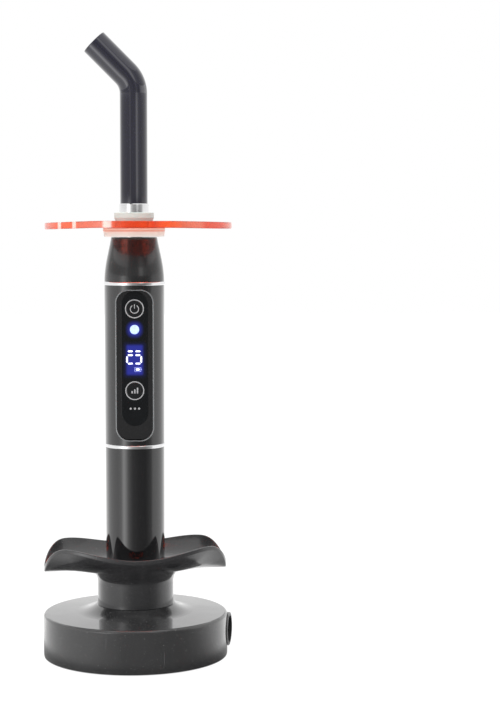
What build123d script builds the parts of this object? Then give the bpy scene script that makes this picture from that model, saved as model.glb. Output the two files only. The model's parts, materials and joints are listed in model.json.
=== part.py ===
from build123d import *
import os
from math import atan2, cos, degrees, pi, radians, sin, sqrt, tan

# A pen-shaped dental curing light standing in its round charging stand. Millimetres.
# The origin is the centre of the stand's foot pad, on the surface that it stands on. +Z is up,
# the control panel faces -Y and the tip of the light guide points towards -X.

# Clearances
running_gap = 0.05      # around what turns or slides in a bore
fixed_gap = 0.05        # around what is fixed in a pocket
seat_gap = 0.3          # under what is set down or pressed in
same = 0.01             # two faces this near each other are one

# Foot of the stand
base_r = 40.0
base_wall = 2.4
pad_inset = 4.0         # foot pad inside the base
pad_t = 1.5
plate_t = 2.0
skirt_lift = 0.6        # skirt above the floor
skirt_round = 0.4
rim_z = 19.3            # shoulder of the dome
rim_round = 1.2
flare_width = 4.0       # where the dome turns up, outside the tower's foot
flare_rise = 0.9
flare_round = 15.0
seam_rise = 3.7         # joint of dome and tower, above the shoulder
seam_ledge = 0.6        # dome outside the tower at the joint
seam_round = 0.3
screw_inset = 10.0      # base screws inside the base
screw_azimuths = (60, 180, 300)
boss_r = 3.2
base_screw_r = 1.15
base_screw_len = 8.0
screw_head_r = 2.6
screw_head_h = 1.3
ballast_t = 5.0
ballast_inset = 4.0     # ballast inside the base
ballast_width = 19.0

# Charging inlet
jack_azimuth = -12.0
jack_offset = 7.0       # sideways from the base's own axis
jack_axis_h = 5.6       # above its board
jack_setback = 0.3      # its face, behind the bezel
inlet_boss_r = 7.3
inlet_boss_root = 5.1    # its foot, inside the inlet's face
inlet_boss_round = 0.3
bezel_r = 6.7
bezel_proud = 0.5       # its face, outside the base
bezel_rise = 0.1        # its face, outside the boss
bezel_head_len = 2.9
bezel_bore_r = 5.75
bezel_neck_r = 6.2
bezel_len = 5.9
bezel_chamfer = 0.2
jack_width = 9.0
jack_height = 10.2
jack_len = 11.0
jack_bore_r = 2.85
jack_bore_len = 9.0
jack_pin_r = 1.0
jack_pin_len = 8.2
charger_board_len = 17.0
charger_board_width = 15.0
board_t = 1.2
standoff_h = 1.0
standoff_r = 1.6

# Cradle: tower and tray
tower_r = 16.5
foot_round = 0.2
socket_gap = 0.35       # around the handpiece in the tower
spigot_wall = 1.8
spigot_below = 0.4      # below the pin board
nut_width = 3.5
nut_h = 3.5
nut_drop = 2.8          # seat of the nut below the seam
tray_inset = 0.3        # ends of the tray inside the base
tray_half_y = 24.0
tray_turn = 4.3
tray_t = 2.6
tower_h = 17.4          # from the seam to the top face of the tray at its two ends
tray_crest_angle = 39.0
tray_crest_h = 10.4     # rim on its four crests, above the ends
tray_side_h = 6.2       # rim in front and behind, above the ends
tray_fullness = 0.75    # power by which the rim rises from the ends to the crests
tray_flat = 0.45        # share of the tray, from its middle, that is flat
tray_climb = 2.5        # power by which it rises from there to the rim
tray_rim_round = 0.45
tray_depth = 16.0       # of the block that the tray and its trumpet are cut from
trumpet_h = 12.2        # where the trumpet leaves the tower, above the seam
trumpet_slope = 50.0
trumpet_round = 6.0
mouth_chamfer = 1.0

# Charge well
well_top_z = 11.7
well_t = 3.1
well_ledge = 0.45       # well wider than the bore above it
pin_r = 0.9
pin_proud = 0.65
pin_travel = 0.8
spring_h = 0.2          # spring under the pin, pressed flat
barrel_r = 1.6
barrel_len = 6.2
barrel_wall = 0.5
outer_pin_offset = 7.0

# Handpiece, from its lower end upwards
handle_bottom_r = 12.65
handle_top_r = 12.95
cap_flange_h = 2.6
cap_round = 0.6
cap_spigot_h = 5.0
battery_housing_len = 77.3
ring_h = 1.6
ring_proud = 0.25
ring_round = 0.45
handle_housing_len = 68.4
nose_len = 19.0
bore_r = 10.6           # bore of the battery tube
contact_recess = 0.4
contact_t = 1.0
centre_contact_r = 2.5
ring_contact_in_r = 6.0
ring_contact_out_r = 8.0
contact_stem_r = 0.8
cell_r = 9.2
cell_round = 0.8
cell_nub_r = 2.9
cell_nub_h = 1.0
leaf_r = 8.5
leaf_t = 0.6
leaf_rise = 1.5
leaf_tip_r = 2.5
top_contact_t = 0.8
plug_below = 3.4        # joint plug inside the battery tube
plug_above = 7.0        # joint plug inside the handle housing
end_bore_r = 7.9        # round bores at both ends of the handle housing
wire_r = 3.0

# Panel on the handle housing
flat_y = -10.0          # flat that the panel lies on
flat_width = 15.9
flat_bottom = 2.1       # above the lower end of the housing
flat_top = 1.8          # below the upper end of the housing
flat_round = 5.5
panel_wall = 1.85
lens_width = 11.55
lens_len = 57.6
lens_drop = 0.6         # lens below the upper end of the flat
lens_t = 1.0
lens_proud = 0.3
lens_round = 0.25
power_button_h = 58.55  # heights on the panel, above the lower end of the housing
mode_button_h = 23.5
button_r = 3.42
button_gap = 0.08
button_proud = 0.15
button_travel = 0.4
collar_r = 4.2
collar_t = 0.5
button_stem_r = 1.5
button_round = 0.2
indicator_h = 49.7
indicator_r = 1.95
display_h = 36.7
display_width = 9.4
display_len = 15.0
display_gap = 0.3

# Board in the handle housing
board_front_y = -4.0
board_half_width = 6.8
board_end_gap = 1.8
cavity_end = 5.0        # solid ring at the upper end of the housing
switch_size = 5.2
switch_h = 1.6
plunger_r = 1.3
plunger_h = 0.4
stem_gap = 0.1          # left between stem and plunger at full travel
led_size = 2.0
led_h = 1.0
beeper_r = 4.2
beeper_h = 3.0
beeper_up = 18.5        # above the lower end of the housing
post_x = 5.3
post_r = 1.3
post_heights = (53.0, 16.5)
board_screw_r = 0.7
board_screw_len = 3.4
board_screw_head_r = 1.4
board_screw_head_h = 0.9
chips = ((52.5, 5.0, 1.0), (44.5, 4.0, 2.2), (30.5, 6.0, 3.4))   # height, width, thickness

# Light engine in the nose
nose_base_r = 12.85
nose_mid_r = 11.75
nose_mid_share = 0.52
nose_top_r = 9.9
nose_top_round = 0.5
nose_top_lean = 0.16    # slope of its side at the top
nose_lip_h = 1.3
flange_r = 10.15
sink_flange_h = 3.1
sink_stem_len = 4.8
led_board_r = 8.0
emitter_size = 3.5
emitter_h = 0.8
emitter_dome_r = 1.3
reflector_gap = 0.05
reflector_h = 5.2
reflector_in_r = 2.6
reflector_out_r = 5.6
engine_gap = 0.15
socket_wall = 2.3
socket_lip_h = 0.4
socket_lip_r = 5.0

# Light guide
ferrule_r = 6.35
ferrule_len = 24.6
ferrule_chamfer = 0.3
sleeve_r = 5.9
sleeve_wall = 0.65
sleeve_depth = 7.0      # inside the ferrule
bend_rise = 52.05       # crossing of the two centre lines above the ferrule
bend_angle = 45.0
bend_radius = 12.0
tip_len = 23.85         # from the crossing to the end face
tip_round = 0.4
core_recess = 0.2
o_ring_r = 0.4
o_ring_rise = 2.0
snap_rise = 5.0
snap_t = 1.2
snap_width = 1.1
snap_groove_gap = 0.1
snap_split = 2.0

# Shield
rest_gap = 0.2          # between nose and shield
washer_top_r = 13.25
washer_bottom_r = 12.9
washer_h = 2.55
flange_out_r = 13.35
flange_h = 1.25
neck_r = 7.4
neck_gap = 0.05
disc_r = 40.2
disc_t = 2.9
disc_offset = 1.87
disc_round = 0.4
disc_flat_x = 16.0      # flat in the middle, bent down from there to both ends
disc_tip_droop = 0.9    # end under the guide's tip
disc_far_droop = 0.5
disc_bend = 200.0
top_flange_r = 8.55
top_flange_foot_r = 8.0
top_flange_h = 3.6
top_flange_foot_h = 1.3
soft_chamfer = 0.3

# Heights and lengths that follow from the sizes above
plate_top_z = pad_t + plate_t
shell_in_r = base_r - base_wall
screw_circle_r = base_r - screw_inset
ballast_out_r = base_r - ballast_inset
bezel_face_r = base_r + bezel_proud
bezel_seat_r = bezel_face_r - bezel_head_len
socket_r = handle_bottom_r + socket_gap
spigot_r = socket_r + spigot_wall
nut_r = spigot_r + nut_width
well_r = socket_r + well_ledge
seam_r = tower_r + seam_ledge
flare_r = seam_r + flare_width
tray_half_x = base_r - tray_inset
flare_z = rim_z + flare_rise
seam_z = rim_z + seam_rise
nut_seat_z = seam_z - nut_drop
board_floor_z = plate_top_z + standoff_h
jack_z = board_floor_z + board_t + jack_axis_h
jack_near_x = bezel_face_r - bezel_len - jack_setback
tray_floor_z = seam_z + tower_h
trumpet_z = seam_z + trumpet_h
well_bottom_z = well_top_z - well_t
spigot_bottom_z = well_bottom_z - board_t - spigot_below
barrel_bottom_z = well_top_z - barrel_len
handle_bottom_z = well_top_z + seat_gap
battery_housing_z = handle_bottom_z + cap_flange_h
lower_ring_z = battery_housing_z + battery_housing_len
handle_housing_z = lower_ring_z + ring_h
upper_ring_z = handle_housing_z + handle_housing_len
nose_z = upper_ring_z + ring_h
nose_top_z = nose_z + nose_len
contact_z = handle_bottom_z + contact_recess
cap_top_z = battery_housing_z + cap_spigot_h
cell_z = cap_top_z + leaf_t + leaf_rise
plug_bottom_z = lower_ring_z - plug_below
cell_top_z = plug_bottom_z - top_contact_t
flat_bottom_z = handle_housing_z + flat_bottom
flat_top_z = upper_ring_z - flat_top
lens_z = flat_top_z - lens_drop - lens_len / 2
power_button_z = handle_housing_z + power_button_h
mode_button_z = handle_housing_z + mode_button_h
indicator_z = handle_housing_z + indicator_h
display_z = handle_housing_z + display_h
posts = [(post_x, handle_housing_z + post_heights[0]), (-post_x, handle_housing_z + post_heights[1])]
cavity_bottom_z = handle_housing_z + plug_above + fixed_gap
cavity_top_z = upper_ring_z - cavity_end
wall_inner_y = flat_y + panel_wall
lens_face_y = flat_y - lens_proud
lens_back_y = lens_face_y + lens_t
button_face_y = lens_face_y - button_proud
collar_front_y = wall_inner_y - collar_t
stem_end_y = board_front_y - switch_h - plunger_h - stem_gap - button_travel
board_back_y = board_front_y + board_t
led_board_z = upper_ring_z + sink_flange_h
emitter_z = led_board_z + board_t
reflector_z = emitter_z + reflector_gap
socket_z = reflector_z + reflector_h + engine_gap
socket_top_z = nose_top_z - nose_lip_h
ferrule_z = socket_z + socket_lip_h + seat_gap
ferrule_top_z = ferrule_z + ferrule_len
bend_z = ferrule_top_z + bend_rise
guide_bore_r = ferrule_r + running_gap
core_r = sleeve_r - sleeve_wall
o_ring_z = ferrule_z + o_ring_rise
snap_z = ferrule_z + snap_rise
washer_z = nose_top_z + rest_gap
grommet_z = washer_z + washer_h
disc_z = grommet_z + flange_h + neck_gap
top_flange_z = disc_z + disc_t + neck_gap
grommet_top_z = top_flange_z + top_flange_h


def handle_radius(z):
    """Radius of the slightly tapered handle at a height."""
    share = (z - handle_bottom_z) / (nose_z - handle_bottom_z)
    return handle_bottom_r + (handle_top_r - handle_bottom_r) * share


def turned(*corners):
    """Solid turned about Z from corners of (radius, height) or (radius, height, rounding)."""
    points = [(corner[0], 0, corner[1]) for corner in corners]
    rounds = [corner[2] if len(corner) > 2 else 0 for corner in corners]
    return revolve(make_face(FilletPolyline(*points, radius=rounds, close=True)), Axis.Z)


def tube(outer_r, inner_r, bottom, top):
    """Plain tube about Z."""
    return turned((inner_r, bottom), (outer_r, bottom), (outer_r, top), (inner_r, top))


def rod(radius, bottom, top, x=0.0, y=0.0):
    """Round rod along Z."""
    return Pos(x, y, bottom) * Cylinder(radius, top - bottom, align=(Align.CENTER, Align.CENTER, Align.MIN))


def block(x0, x1, y0, y1, z0, z1):
    """Box between two corners."""
    return Pos((x0 + x1) / 2, (y0 + y1) / 2, (z0 + z1) / 2) * Box(x1 - x0, y1 - y0, z1 - z0)


def rod_y(radius, front_y, back_y, z, x=0.0):
    """Round rod along Y, from its front to its back."""
    plane = Plane(origin=(x, front_y, z), x_dir=(1, 0, 0), z_dir=(0, 1, 0))
    return plane * Cylinder(radius, back_y - front_y, align=(Align.CENTER, Align.CENTER, Align.MIN))


def rod_x(radius, near_x, far_x, z):
    """Round rod along X."""
    plane = Plane(origin=(near_x, 0, z), x_dir=(0, 1, 0), z_dir=(1, 0, 0))
    return plane * Cylinder(radius, far_x - near_x, align=(Align.CENTER, Align.CENTER, Align.MIN))


def towards_jack(shape):
    """Move a shape that was made along +X to the line of the inlet."""
    return Rot(0, 0, jack_azimuth) * (Pos(0, jack_offset, 0) * shape)


def at_screws(make):
    """One shape at each base screw."""
    return [Rot(0, 0, azimuth) * (Pos(screw_circle_r, 0, 0) * make()) for azimuth in screw_azimuths]


def group(shapes):
    """Several separate solids as one node."""
    return Compound(children=[solid for shape in shapes for solid in shape.solids()])


# Stand

def make_foot_pad():
    return rod(base_r - pad_inset, 0, pad_t)


def make_base_plate():
    plate = rod(shell_in_r - fixed_gap, pad_t, plate_top_z)
    for hole in at_screws(lambda: rod(base_screw_r + running_gap, pad_t, plate_top_z)):
        plate -= hole
    for recess in at_screws(lambda: rod(screw_head_r + 2 * fixed_gap, pad_t, pad_t + screw_head_h)):
        plate -= recess
    for x in (jack_near_x - charger_board_len + 2 * standoff_r, jack_near_x - 2 * standoff_r):
        plate += towards_jack(rod(standoff_r, plate_top_z, board_floor_z, x))
    return plate


def make_base_screws():
    def screw():
        return rod(screw_head_r, pad_t, pad_t + screw_head_h) + rod(
            base_screw_r, pad_t + screw_head_h, pad_t + screw_head_h + base_screw_len)
    return group(at_screws(screw))


def make_inlet_boss():
    """Round seat of the inlet: nearly flush with the base on one side, proud of it on the other."""
    boss = rod_x(inlet_boss_r, bezel_face_r - inlet_boss_root, bezel_face_r - bezel_rise, jack_z)
    return fillet(boss.edges().group_by(Axis.X)[-1], inlet_boss_round)


def make_base_shell():
    shell = turned(
        (shell_in_r, skirt_lift),
        (base_r, skirt_lift, skirt_round),
        (base_r, rim_z, rim_round),
        (flare_r, flare_z, flare_round),
        (seam_r, seam_z, seam_round),
        (spigot_r + fixed_gap, seam_z),
        (spigot_r + fixed_gap, nut_seat_z),
        (nut_r + fixed_gap, nut_seat_z),
        (flare_r, flare_z - base_wall),
        (shell_in_r, rim_z - base_wall),
    )
    for boss in at_screws(lambda: rod(boss_r, plate_top_z, rim_z)):
        shell += boss
    for pilot in at_screws(lambda: rod(base_screw_r, plate_top_z, plate_top_z + base_screw_len)):
        shell -= pilot
    shell += towards_jack(make_inlet_boss())
    shell -= towards_jack(rod_x(bezel_r + fixed_gap, bezel_seat_r, bezel_face_r, jack_z))
    shell -= towards_jack(rod_x(bezel_neck_r + fixed_gap, screw_circle_r, bezel_face_r, jack_z))
    return shell


def make_ballast():
    ballast = tube(ballast_out_r, ballast_out_r - ballast_width, plate_top_z, plate_top_z + ballast_t)
    for hole in at_screws(lambda: rod(boss_r + seat_gap, plate_top_z, plate_top_z + ballast_t)):
        ballast -= hole
    half = charger_board_width / 2 + seat_gap
    slot = block(0, base_r, -half, half, plate_top_z, plate_top_z + ballast_t)
    return ballast - towards_jack(slot)


def make_charger_board():
    half = charger_board_width / 2
    near_x = jack_near_x - charger_board_len
    return towards_jack(block(near_x, jack_near_x, -half, half, board_floor_z, board_floor_z + board_t))


def make_dc_jack():
    half = jack_width / 2
    floor_z = board_floor_z + board_t
    body = block(jack_near_x - jack_len, jack_near_x, -half, half, floor_z, floor_z + jack_height)
    body -= rod_x(jack_bore_r, jack_near_x - jack_bore_len, jack_near_x, jack_z)
    return towards_jack(body)


def make_dc_pin():
    near_x = jack_near_x - jack_bore_len
    return towards_jack(rod_x(jack_pin_r, near_x, near_x + jack_pin_len, jack_z))


def make_jack_bezel():
    near_x = bezel_face_r - bezel_len
    bezel = rod_x(bezel_neck_r, near_x, bezel_seat_r, jack_z)
    bezel += rod_x(bezel_r, bezel_seat_r, bezel_face_r, jack_z)
    bezel = chamfer(bezel.edges().group_by(Axis.X)[-1], bezel_chamfer)
    bezel -= rod_x(bezel_bore_r, near_x, bezel_face_r, jack_z)
    return towards_jack(bezel)


def half_wave(share):
    """Smooth rise from 0 to 1."""
    return (1 - cos(pi * share)) / 2


def tray_height(x, y):
    """Top face of the tray: flat in the middle and along X, rising to four crests on its rim."""
    angle = degrees(atan2(abs(y) / tray_half_y, abs(x) / tray_half_x))
    out = sqrt((x / tray_half_x) ** 2 + (y / tray_half_y) ** 2)
    if angle < tray_crest_angle:
        rim = tray_crest_h * half_wave(angle / tray_crest_angle) ** tray_fullness
    else:
        share = half_wave((90 - angle) / (90 - tray_crest_angle))
        rim = tray_side_h + (tray_crest_h - tray_side_h) * share
    climb = max(0.0, (out - tray_flat) / (1 - tray_flat)) ** tray_climb
    return tray_floor_z + rim * climb


def tray_face():
    """Top face of the tray, a little larger than its outline."""
    columns = 37
    rows = 29
    reach = 1.04
    grid = []
    for i in range(columns):
        x = tray_half_x * reach * (2 * i / (columns - 1) - 1)
        ys = [tray_half_y * reach * (2 * j / (rows - 1) - 1) for j in range(rows)]
        grid.append([Vector(x, y, tray_height(x, y)) for y in ys])
    return Face.make_surface_from_array_of_points(grid, tol=same, min_deg=3)


def make_tray():
    """Oval plate with the rim's up and down, on a trumpet that opens from the tower."""
    top = tray_face()
    outline = Pos(0, 0, seam_z) * Ellipse(tray_half_x, tray_half_y)
    tray = extrude(top, amount=tray_depth, dir=(0, 0, -1)) & extrude(outline, amount=tray_floor_z)
    cone_top_z = trumpet_z + (tray_half_y - tower_r) * tan(radians(trumpet_slope))
    trumpet = turned(
        (0, seam_z),
        (tower_r, seam_z),
        (tower_r, trumpet_z, trumpet_round),
        (tray_half_y, cone_top_z),
        (0, cone_top_z),
    )
    below = Pos(0, 0, -tray_t) * extrude(top, amount=2 * tray_depth, dir=(0, 0, -1))
    tray -= below - trumpet
    rims = [edge for edge in tray.edges() if edge.length > 2 * pi * tray_half_y]
    return fillet(rims, tray_rim_round)


def make_cradle():
    tray = Rot(0, 0, tray_turn) * make_tray()
    tower_top_z = tray_floor_z - tray_t - tray_depth / 2
    tower = turned(
        (0, spigot_bottom_z),
        (spigot_r, spigot_bottom_z),
        (spigot_r, seam_z),
        (tower_r, seam_z, foot_round),
        (tower_r, tower_top_z),
        (0, tower_top_z),
    )
    cradle = tray + tower
    cradle -= rod(socket_r, well_top_z, tray_floor_z + tray_crest_h)
    cradle -= rod(well_r + fixed_gap, spigot_bottom_z, well_top_z)
    # The funnel of the mouth runs on above the tray's face, so that it cuts it cleanly
    funnel_z = tray_floor_z - mouth_chamfer
    funnel_h = 3 * mouth_chamfer
    return cradle - turned((0, funnel_z), (socket_r, funnel_z), (socket_r + funnel_h, funnel_z + funnel_h),
                           (0, funnel_z + funnel_h))


def make_cradle_nut():
    return tube(nut_r, spigot_r + fixed_gap, nut_seat_z - nut_h, nut_seat_z)


def at_pins(make):
    """One shape at each charge pin."""
    return [make(), Pos(0, -outer_pin_offset, 0) * make()]


def make_charge_well():
    well = rod(well_r, well_bottom_z, well_top_z)
    for hole in at_pins(lambda: rod(barrel_r + fixed_gap, well_bottom_z, well_top_z)):
        well -= hole
    return well


def make_pin_board():
    board = rod(well_r, well_bottom_z - board_t, well_bottom_z)
    for hole in at_pins(lambda: rod(barrel_r + fixed_gap, well_bottom_z - board_t, well_bottom_z)):
        board -= hole
    return board


def barrel():
    """Sleeve of a charge pin, closed below."""
    floor_z = barrel_bottom_z + barrel_wall
    return rod(barrel_r, barrel_bottom_z, well_top_z) - rod(pin_r + running_gap, floor_z, well_top_z)


def charge_pin():
    """Plunger with a round head, proud of the well by its free height."""
    plunger = rod(pin_r, barrel_bottom_z + barrel_wall + spring_h + pin_travel, well_top_z + pin_proud)
    return fillet(plunger.edges().group_by(Axis.Z)[-1], pin_r / 2)


# Handpiece, lower half

def make_end_cap():
    flange_r = handle_radius(battery_housing_z)
    cap = turned(
        (0, handle_bottom_z),
        (flange_r, handle_bottom_z, cap_round),
        (flange_r, battery_housing_z),
        (bore_r - fixed_gap, battery_housing_z),
        (bore_r - fixed_gap, cap_top_z),
        (0, cap_top_z),
    )
    recess_top = contact_z + contact_t
    cap -= rod(centre_contact_r + fixed_gap, handle_bottom_z, recess_top)
    cap -= rod(contact_stem_r + fixed_gap, handle_bottom_z, cap_top_z)
    cap -= tube(ring_contact_out_r + fixed_gap, ring_contact_in_r - fixed_gap, handle_bottom_z, recess_top)
    for leg in ring_legs(contact_stem_r + fixed_gap):
        cap -= leg
    return cap


def ring_legs(radius):
    """Two legs of the ring contact."""
    middle = (ring_contact_in_r + ring_contact_out_r) / 2
    return [rod(radius, contact_z, battery_housing_z + cap_spigot_h / 2, x) for x in (-middle, middle)]


def make_centre_contact():
    return rod(centre_contact_r, contact_z, contact_z + contact_t) + rod(contact_stem_r, contact_z, cap_top_z)


def make_ring_contact():
    ring = tube(ring_contact_out_r, ring_contact_in_r, contact_z, contact_z + contact_t)
    for leg in ring_legs(contact_stem_r):
        ring += leg
    return ring


def make_battery_housing():
    return turned(
        (bore_r, battery_housing_z),
        (handle_radius(battery_housing_z), battery_housing_z),
        (handle_radius(lower_ring_z), lower_ring_z),
        (bore_r, lower_ring_z),
    )


def make_battery_contact_bottom():
    return turned(
        (0, cap_top_z),
        (leaf_r, cap_top_z),
        (leaf_r, cap_top_z + leaf_t),
        (leaf_tip_r + leaf_rise, cap_top_z + leaf_t),
        (leaf_tip_r, cell_z),
        (0, cell_z),
    )


def make_battery_cell():
    body_top = cell_top_z - cell_nub_h
    return turned(
        (0, cell_z),
        (cell_r, cell_z, cell_round),
        (cell_r, body_top, cell_round),
        (cell_nub_r, body_top),
        (cell_nub_r, cell_top_z),
        (0, cell_top_z),
    )


def make_battery_contact_top():
    return tube(leaf_r, contact_stem_r, cell_top_z, plug_bottom_z)


def make_joint_plug():
    return turned(
        (wire_r, plug_bottom_z),
        (bore_r - fixed_gap, plug_bottom_z),
        (bore_r - fixed_gap, handle_housing_z),
        (end_bore_r - fixed_gap, handle_housing_z),
        (end_bore_r - fixed_gap, handle_housing_z + plug_above),
        (wire_r, handle_housing_z + plug_above),
    )


def trim_ring(bottom, inner_r):
    """Chrome ring with a rounded face, a little proud of the handle."""
    outer_r = handle_radius(bottom + ring_h / 2) + ring_proud
    ring = tube(outer_r, inner_r, bottom, bottom + ring_h)
    outer_edges = [edge for edge in ring.edges().filter_by(GeomType.CIRCLE) if edge.radius > outer_r - same]
    return fillet(outer_edges, ring_round)


# Handle housing with its panel

def stadium(width, length, front_y, back_y, middle_z):
    """Upright plate with round ends, facing -Y."""
    plane = Plane.XZ.offset(-back_y) * Pos(0, middle_z, 0)
    return extrude(plane * SlotOverall(length, width, rotation=90), amount=back_y - front_y)


def make_handle_housing():
    bottom = handle_housing_z
    top = upper_ring_z
    housing = turned((0, bottom), (handle_radius(bottom), bottom), (handle_radius(top), top), (0, top))
    flat_z = (flat_bottom_z + flat_top_z) / 2
    flat_plane = Plane.XZ.offset(-flat_y) * Pos(0, flat_z, 0)
    flat_outline = flat_plane * RectangleRounded(flat_width, flat_top_z - flat_bottom_z, flat_round)
    housing -= extrude(flat_outline, amount=handle_top_r)
    housing -= stadium(lens_width + 2 * fixed_gap, lens_len + 2 * fixed_gap, lens_face_y, lens_back_y, lens_z)
    cavity = rod(bore_r, cavity_bottom_z, cavity_top_z)
    cavity &= block(-bore_r, bore_r, wall_inner_y, bore_r, cavity_bottom_z, cavity_top_z)
    for x, z in posts:
        cavity -= rod_y(post_r, wall_inner_y, board_front_y, z, x)
    housing -= cavity
    housing -= rod(end_bore_r, bottom, top)
    for z in (power_button_z, mode_button_z):
        housing -= rod_y(button_r + button_gap, lens_face_y, wall_inner_y, z)
        housing -= rod_y(collar_r + 2 * button_gap, collar_front_y - running_gap, wall_inner_y, z)
    housing -= rod_y(indicator_r + fixed_gap, lens_face_y, wall_inner_y, indicator_z)
    half_x = display_width / 2 + display_gap
    half_z = display_len / 2 + display_gap
    housing -= block(-half_x, half_x, lens_back_y, wall_inner_y, display_z - half_z, display_z + half_z)
    for x, z in posts:
        housing -= rod_y(board_screw_r, board_back_y - board_screw_len, board_front_y, z, x)
    return housing


def make_panel_lens():
    lens = stadium(lens_width, lens_len, lens_face_y, lens_back_y, lens_z)
    lens = fillet(lens.edges().group_by(Axis.Y)[0], lens_round)
    for z in (power_button_z, mode_button_z):
        lens -= rod_y(button_r + button_gap, lens_face_y, lens_back_y, z)
    lens -= rod_y(indicator_r + fixed_gap, lens_face_y, lens_back_y, indicator_z)
    return lens


def push_button(z):
    """Round button with a collar behind the panel and a stem that reaches its switch."""
    cap = rod_y(button_r, button_face_y, collar_front_y, z)
    cap = fillet(cap.edges().group_by(Axis.Y)[0], button_round)
    collar = rod_y(collar_r, collar_front_y, wall_inner_y, z)
    return cap + collar + rod_y(button_stem_r, wall_inner_y, stem_end_y, z)


def make_indicator_light():
    return rod_y(indicator_r, lens_face_y, board_front_y - led_h - fixed_gap, indicator_z)


def make_indicator_led():
    half = led_size / 2
    return block(-half, half, board_front_y - led_h, board_front_y, indicator_z - half, indicator_z + half)


def make_display_module():
    half_x = display_width / 2
    half_z = display_len / 2
    front_y = lens_back_y + fixed_gap
    return block(-half_x, half_x, front_y, board_front_y, display_z - half_z, display_z + half_z)


def make_main_board():
    bottom = cavity_bottom_z + board_end_gap
    top = cavity_top_z - board_end_gap
    board = block(-board_half_width, board_half_width, board_front_y, board_back_y, bottom, top)
    for x, z in posts:
        board -= rod_y(board_screw_r + fixed_gap, board_front_y, board_back_y, z, x)
    return board


def make_board_screws():
    screws = []
    for x, z in posts:
        head = rod_y(board_screw_head_r, board_back_y, board_back_y + board_screw_head_h, z, x)
        screws.append(head + rod_y(board_screw_r, board_back_y - board_screw_len, board_back_y, z, x))
    return group(screws)


def make_tact_switches():
    switches = []
    body_front_y = board_front_y - switch_h
    half = switch_size / 2
    for z in (power_button_z, mode_button_z):
        body = block(-half, half, body_front_y, board_front_y, z - half, z + half)
        switches.append(body + rod_y(plunger_r, body_front_y - plunger_h, body_front_y, z))
    return group(switches)


def make_beeper():
    return rod_y(beeper_r, board_back_y, board_back_y + beeper_h, handle_housing_z + beeper_up)


def make_board_chips():
    bodies = []
    for height, width, thickness in chips:
        half = width / 2
        z = handle_housing_z + height
        bodies.append(block(-half, half, board_back_y, board_back_y + thickness, z - half, z + half))
    return group(bodies)


# Nose with the light engine

def make_nose_housing():
    mid_z = nose_z + nose_len * nose_mid_share
    outer = Spline((nose_base_r, 0, nose_z), (nose_mid_r, 0, mid_z), (nose_top_r, 0, nose_top_z),
                   tangents=((0, 0, 1), (-nose_top_lean, 0, 1)))
    inner_r = flange_r + fixed_gap
    upper_r = guide_bore_r + socket_wall + fixed_gap
    inner = Polyline((nose_top_r, 0, nose_top_z), (guide_bore_r + seat_gap, 0, nose_top_z),
                     (guide_bore_r + seat_gap, 0, socket_top_z), (upper_r, 0, socket_top_z),
                     (upper_r, 0, socket_z), (inner_r, 0, socket_z), (inner_r, 0, nose_z),
                     (nose_base_r, 0, nose_z))
    nose = revolve(make_face(outer + inner), Axis.Z)
    rim = [edge for edge in nose.edges().filter_by(GeomType.CIRCLE)
           if abs(edge.radius - nose_top_r) < same and abs(edge.center().Z - nose_top_z) < same]
    return fillet(rim, nose_top_round)


def make_heat_sink():
    return turned(
        (0, upper_ring_z - sink_stem_len),
        (end_bore_r - fixed_gap, upper_ring_z - sink_stem_len),
        (end_bore_r - fixed_gap, upper_ring_z),
        (flange_r, upper_ring_z),
        (flange_r, led_board_z),
        (0, led_board_z),
    )


def make_led_board():
    return rod(led_board_r, led_board_z, emitter_z)


def make_led_emitter():
    half = emitter_size / 2
    top = emitter_z + emitter_h
    dome = Pos(0, 0, top) * Sphere(emitter_dome_r) & block(-half, half, -half, half, top, top + emitter_size)
    return block(-half, half, -half, half, emitter_z, top) + dome


def make_reflector():
    top = reflector_z + reflector_h
    return turned(
        (reflector_in_r, reflector_z),
        (led_board_r, reflector_z),
        (led_board_r, top),
        (reflector_out_r, top),
    )


def make_guide_socket():
    outer_r = guide_bore_r + socket_wall
    socket = turned(
        (socket_lip_r, socket_z),
        (outer_r, socket_z),
        (outer_r, socket_top_z),
        (guide_bore_r, socket_top_z),
        (guide_bore_r, socket_z + socket_lip_h),
        (socket_lip_r, socket_z + socket_lip_h),
    )
    groove_r = guide_bore_r + snap_width + snap_groove_gap
    return socket - tube(groove_r, ferrule_r, snap_z - snap_groove_gap, snap_z + snap_t + snap_groove_gap)


def make_snap_ring():
    ring = tube(guide_bore_r + snap_width, guide_bore_r, snap_z, snap_z + snap_t)
    return ring - block(0, bore_r, -snap_split / 2, snap_split / 2, snap_z, snap_z + snap_t)


# Light guide

def guide_path(bottom, length):
    """Centre line of the guide: straight up, one bend towards -X, straight to the tip."""
    tip_x = -length * sin(radians(bend_angle))
    tip_z = bend_z + length * cos(radians(bend_angle))
    return FilletPolyline((0, 0, bottom), (0, 0, bend_z), (tip_x, 0, tip_z), radius=bend_radius)


def bent_rod(radius, bottom, length):
    """Round rod that follows the guide's centre line."""
    return sweep(Pos(0, 0, bottom) * Circle(radius), path=guide_path(bottom, length))


def make_guide_core():
    return bent_rod(core_r - fixed_gap, ferrule_z, tip_len - core_recess)


def make_guide_sleeve():
    sleeve = bent_rod(sleeve_r, ferrule_top_z - sleeve_depth, tip_len)
    tip_edges = sleeve.edges().filter_by(GeomType.CIRCLE).sort_by(Axis.Z)[-1]
    sleeve = fillet(tip_edges, tip_round)
    return sleeve - bent_rod(core_r, ferrule_z, tip_len + tip_round)


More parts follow.
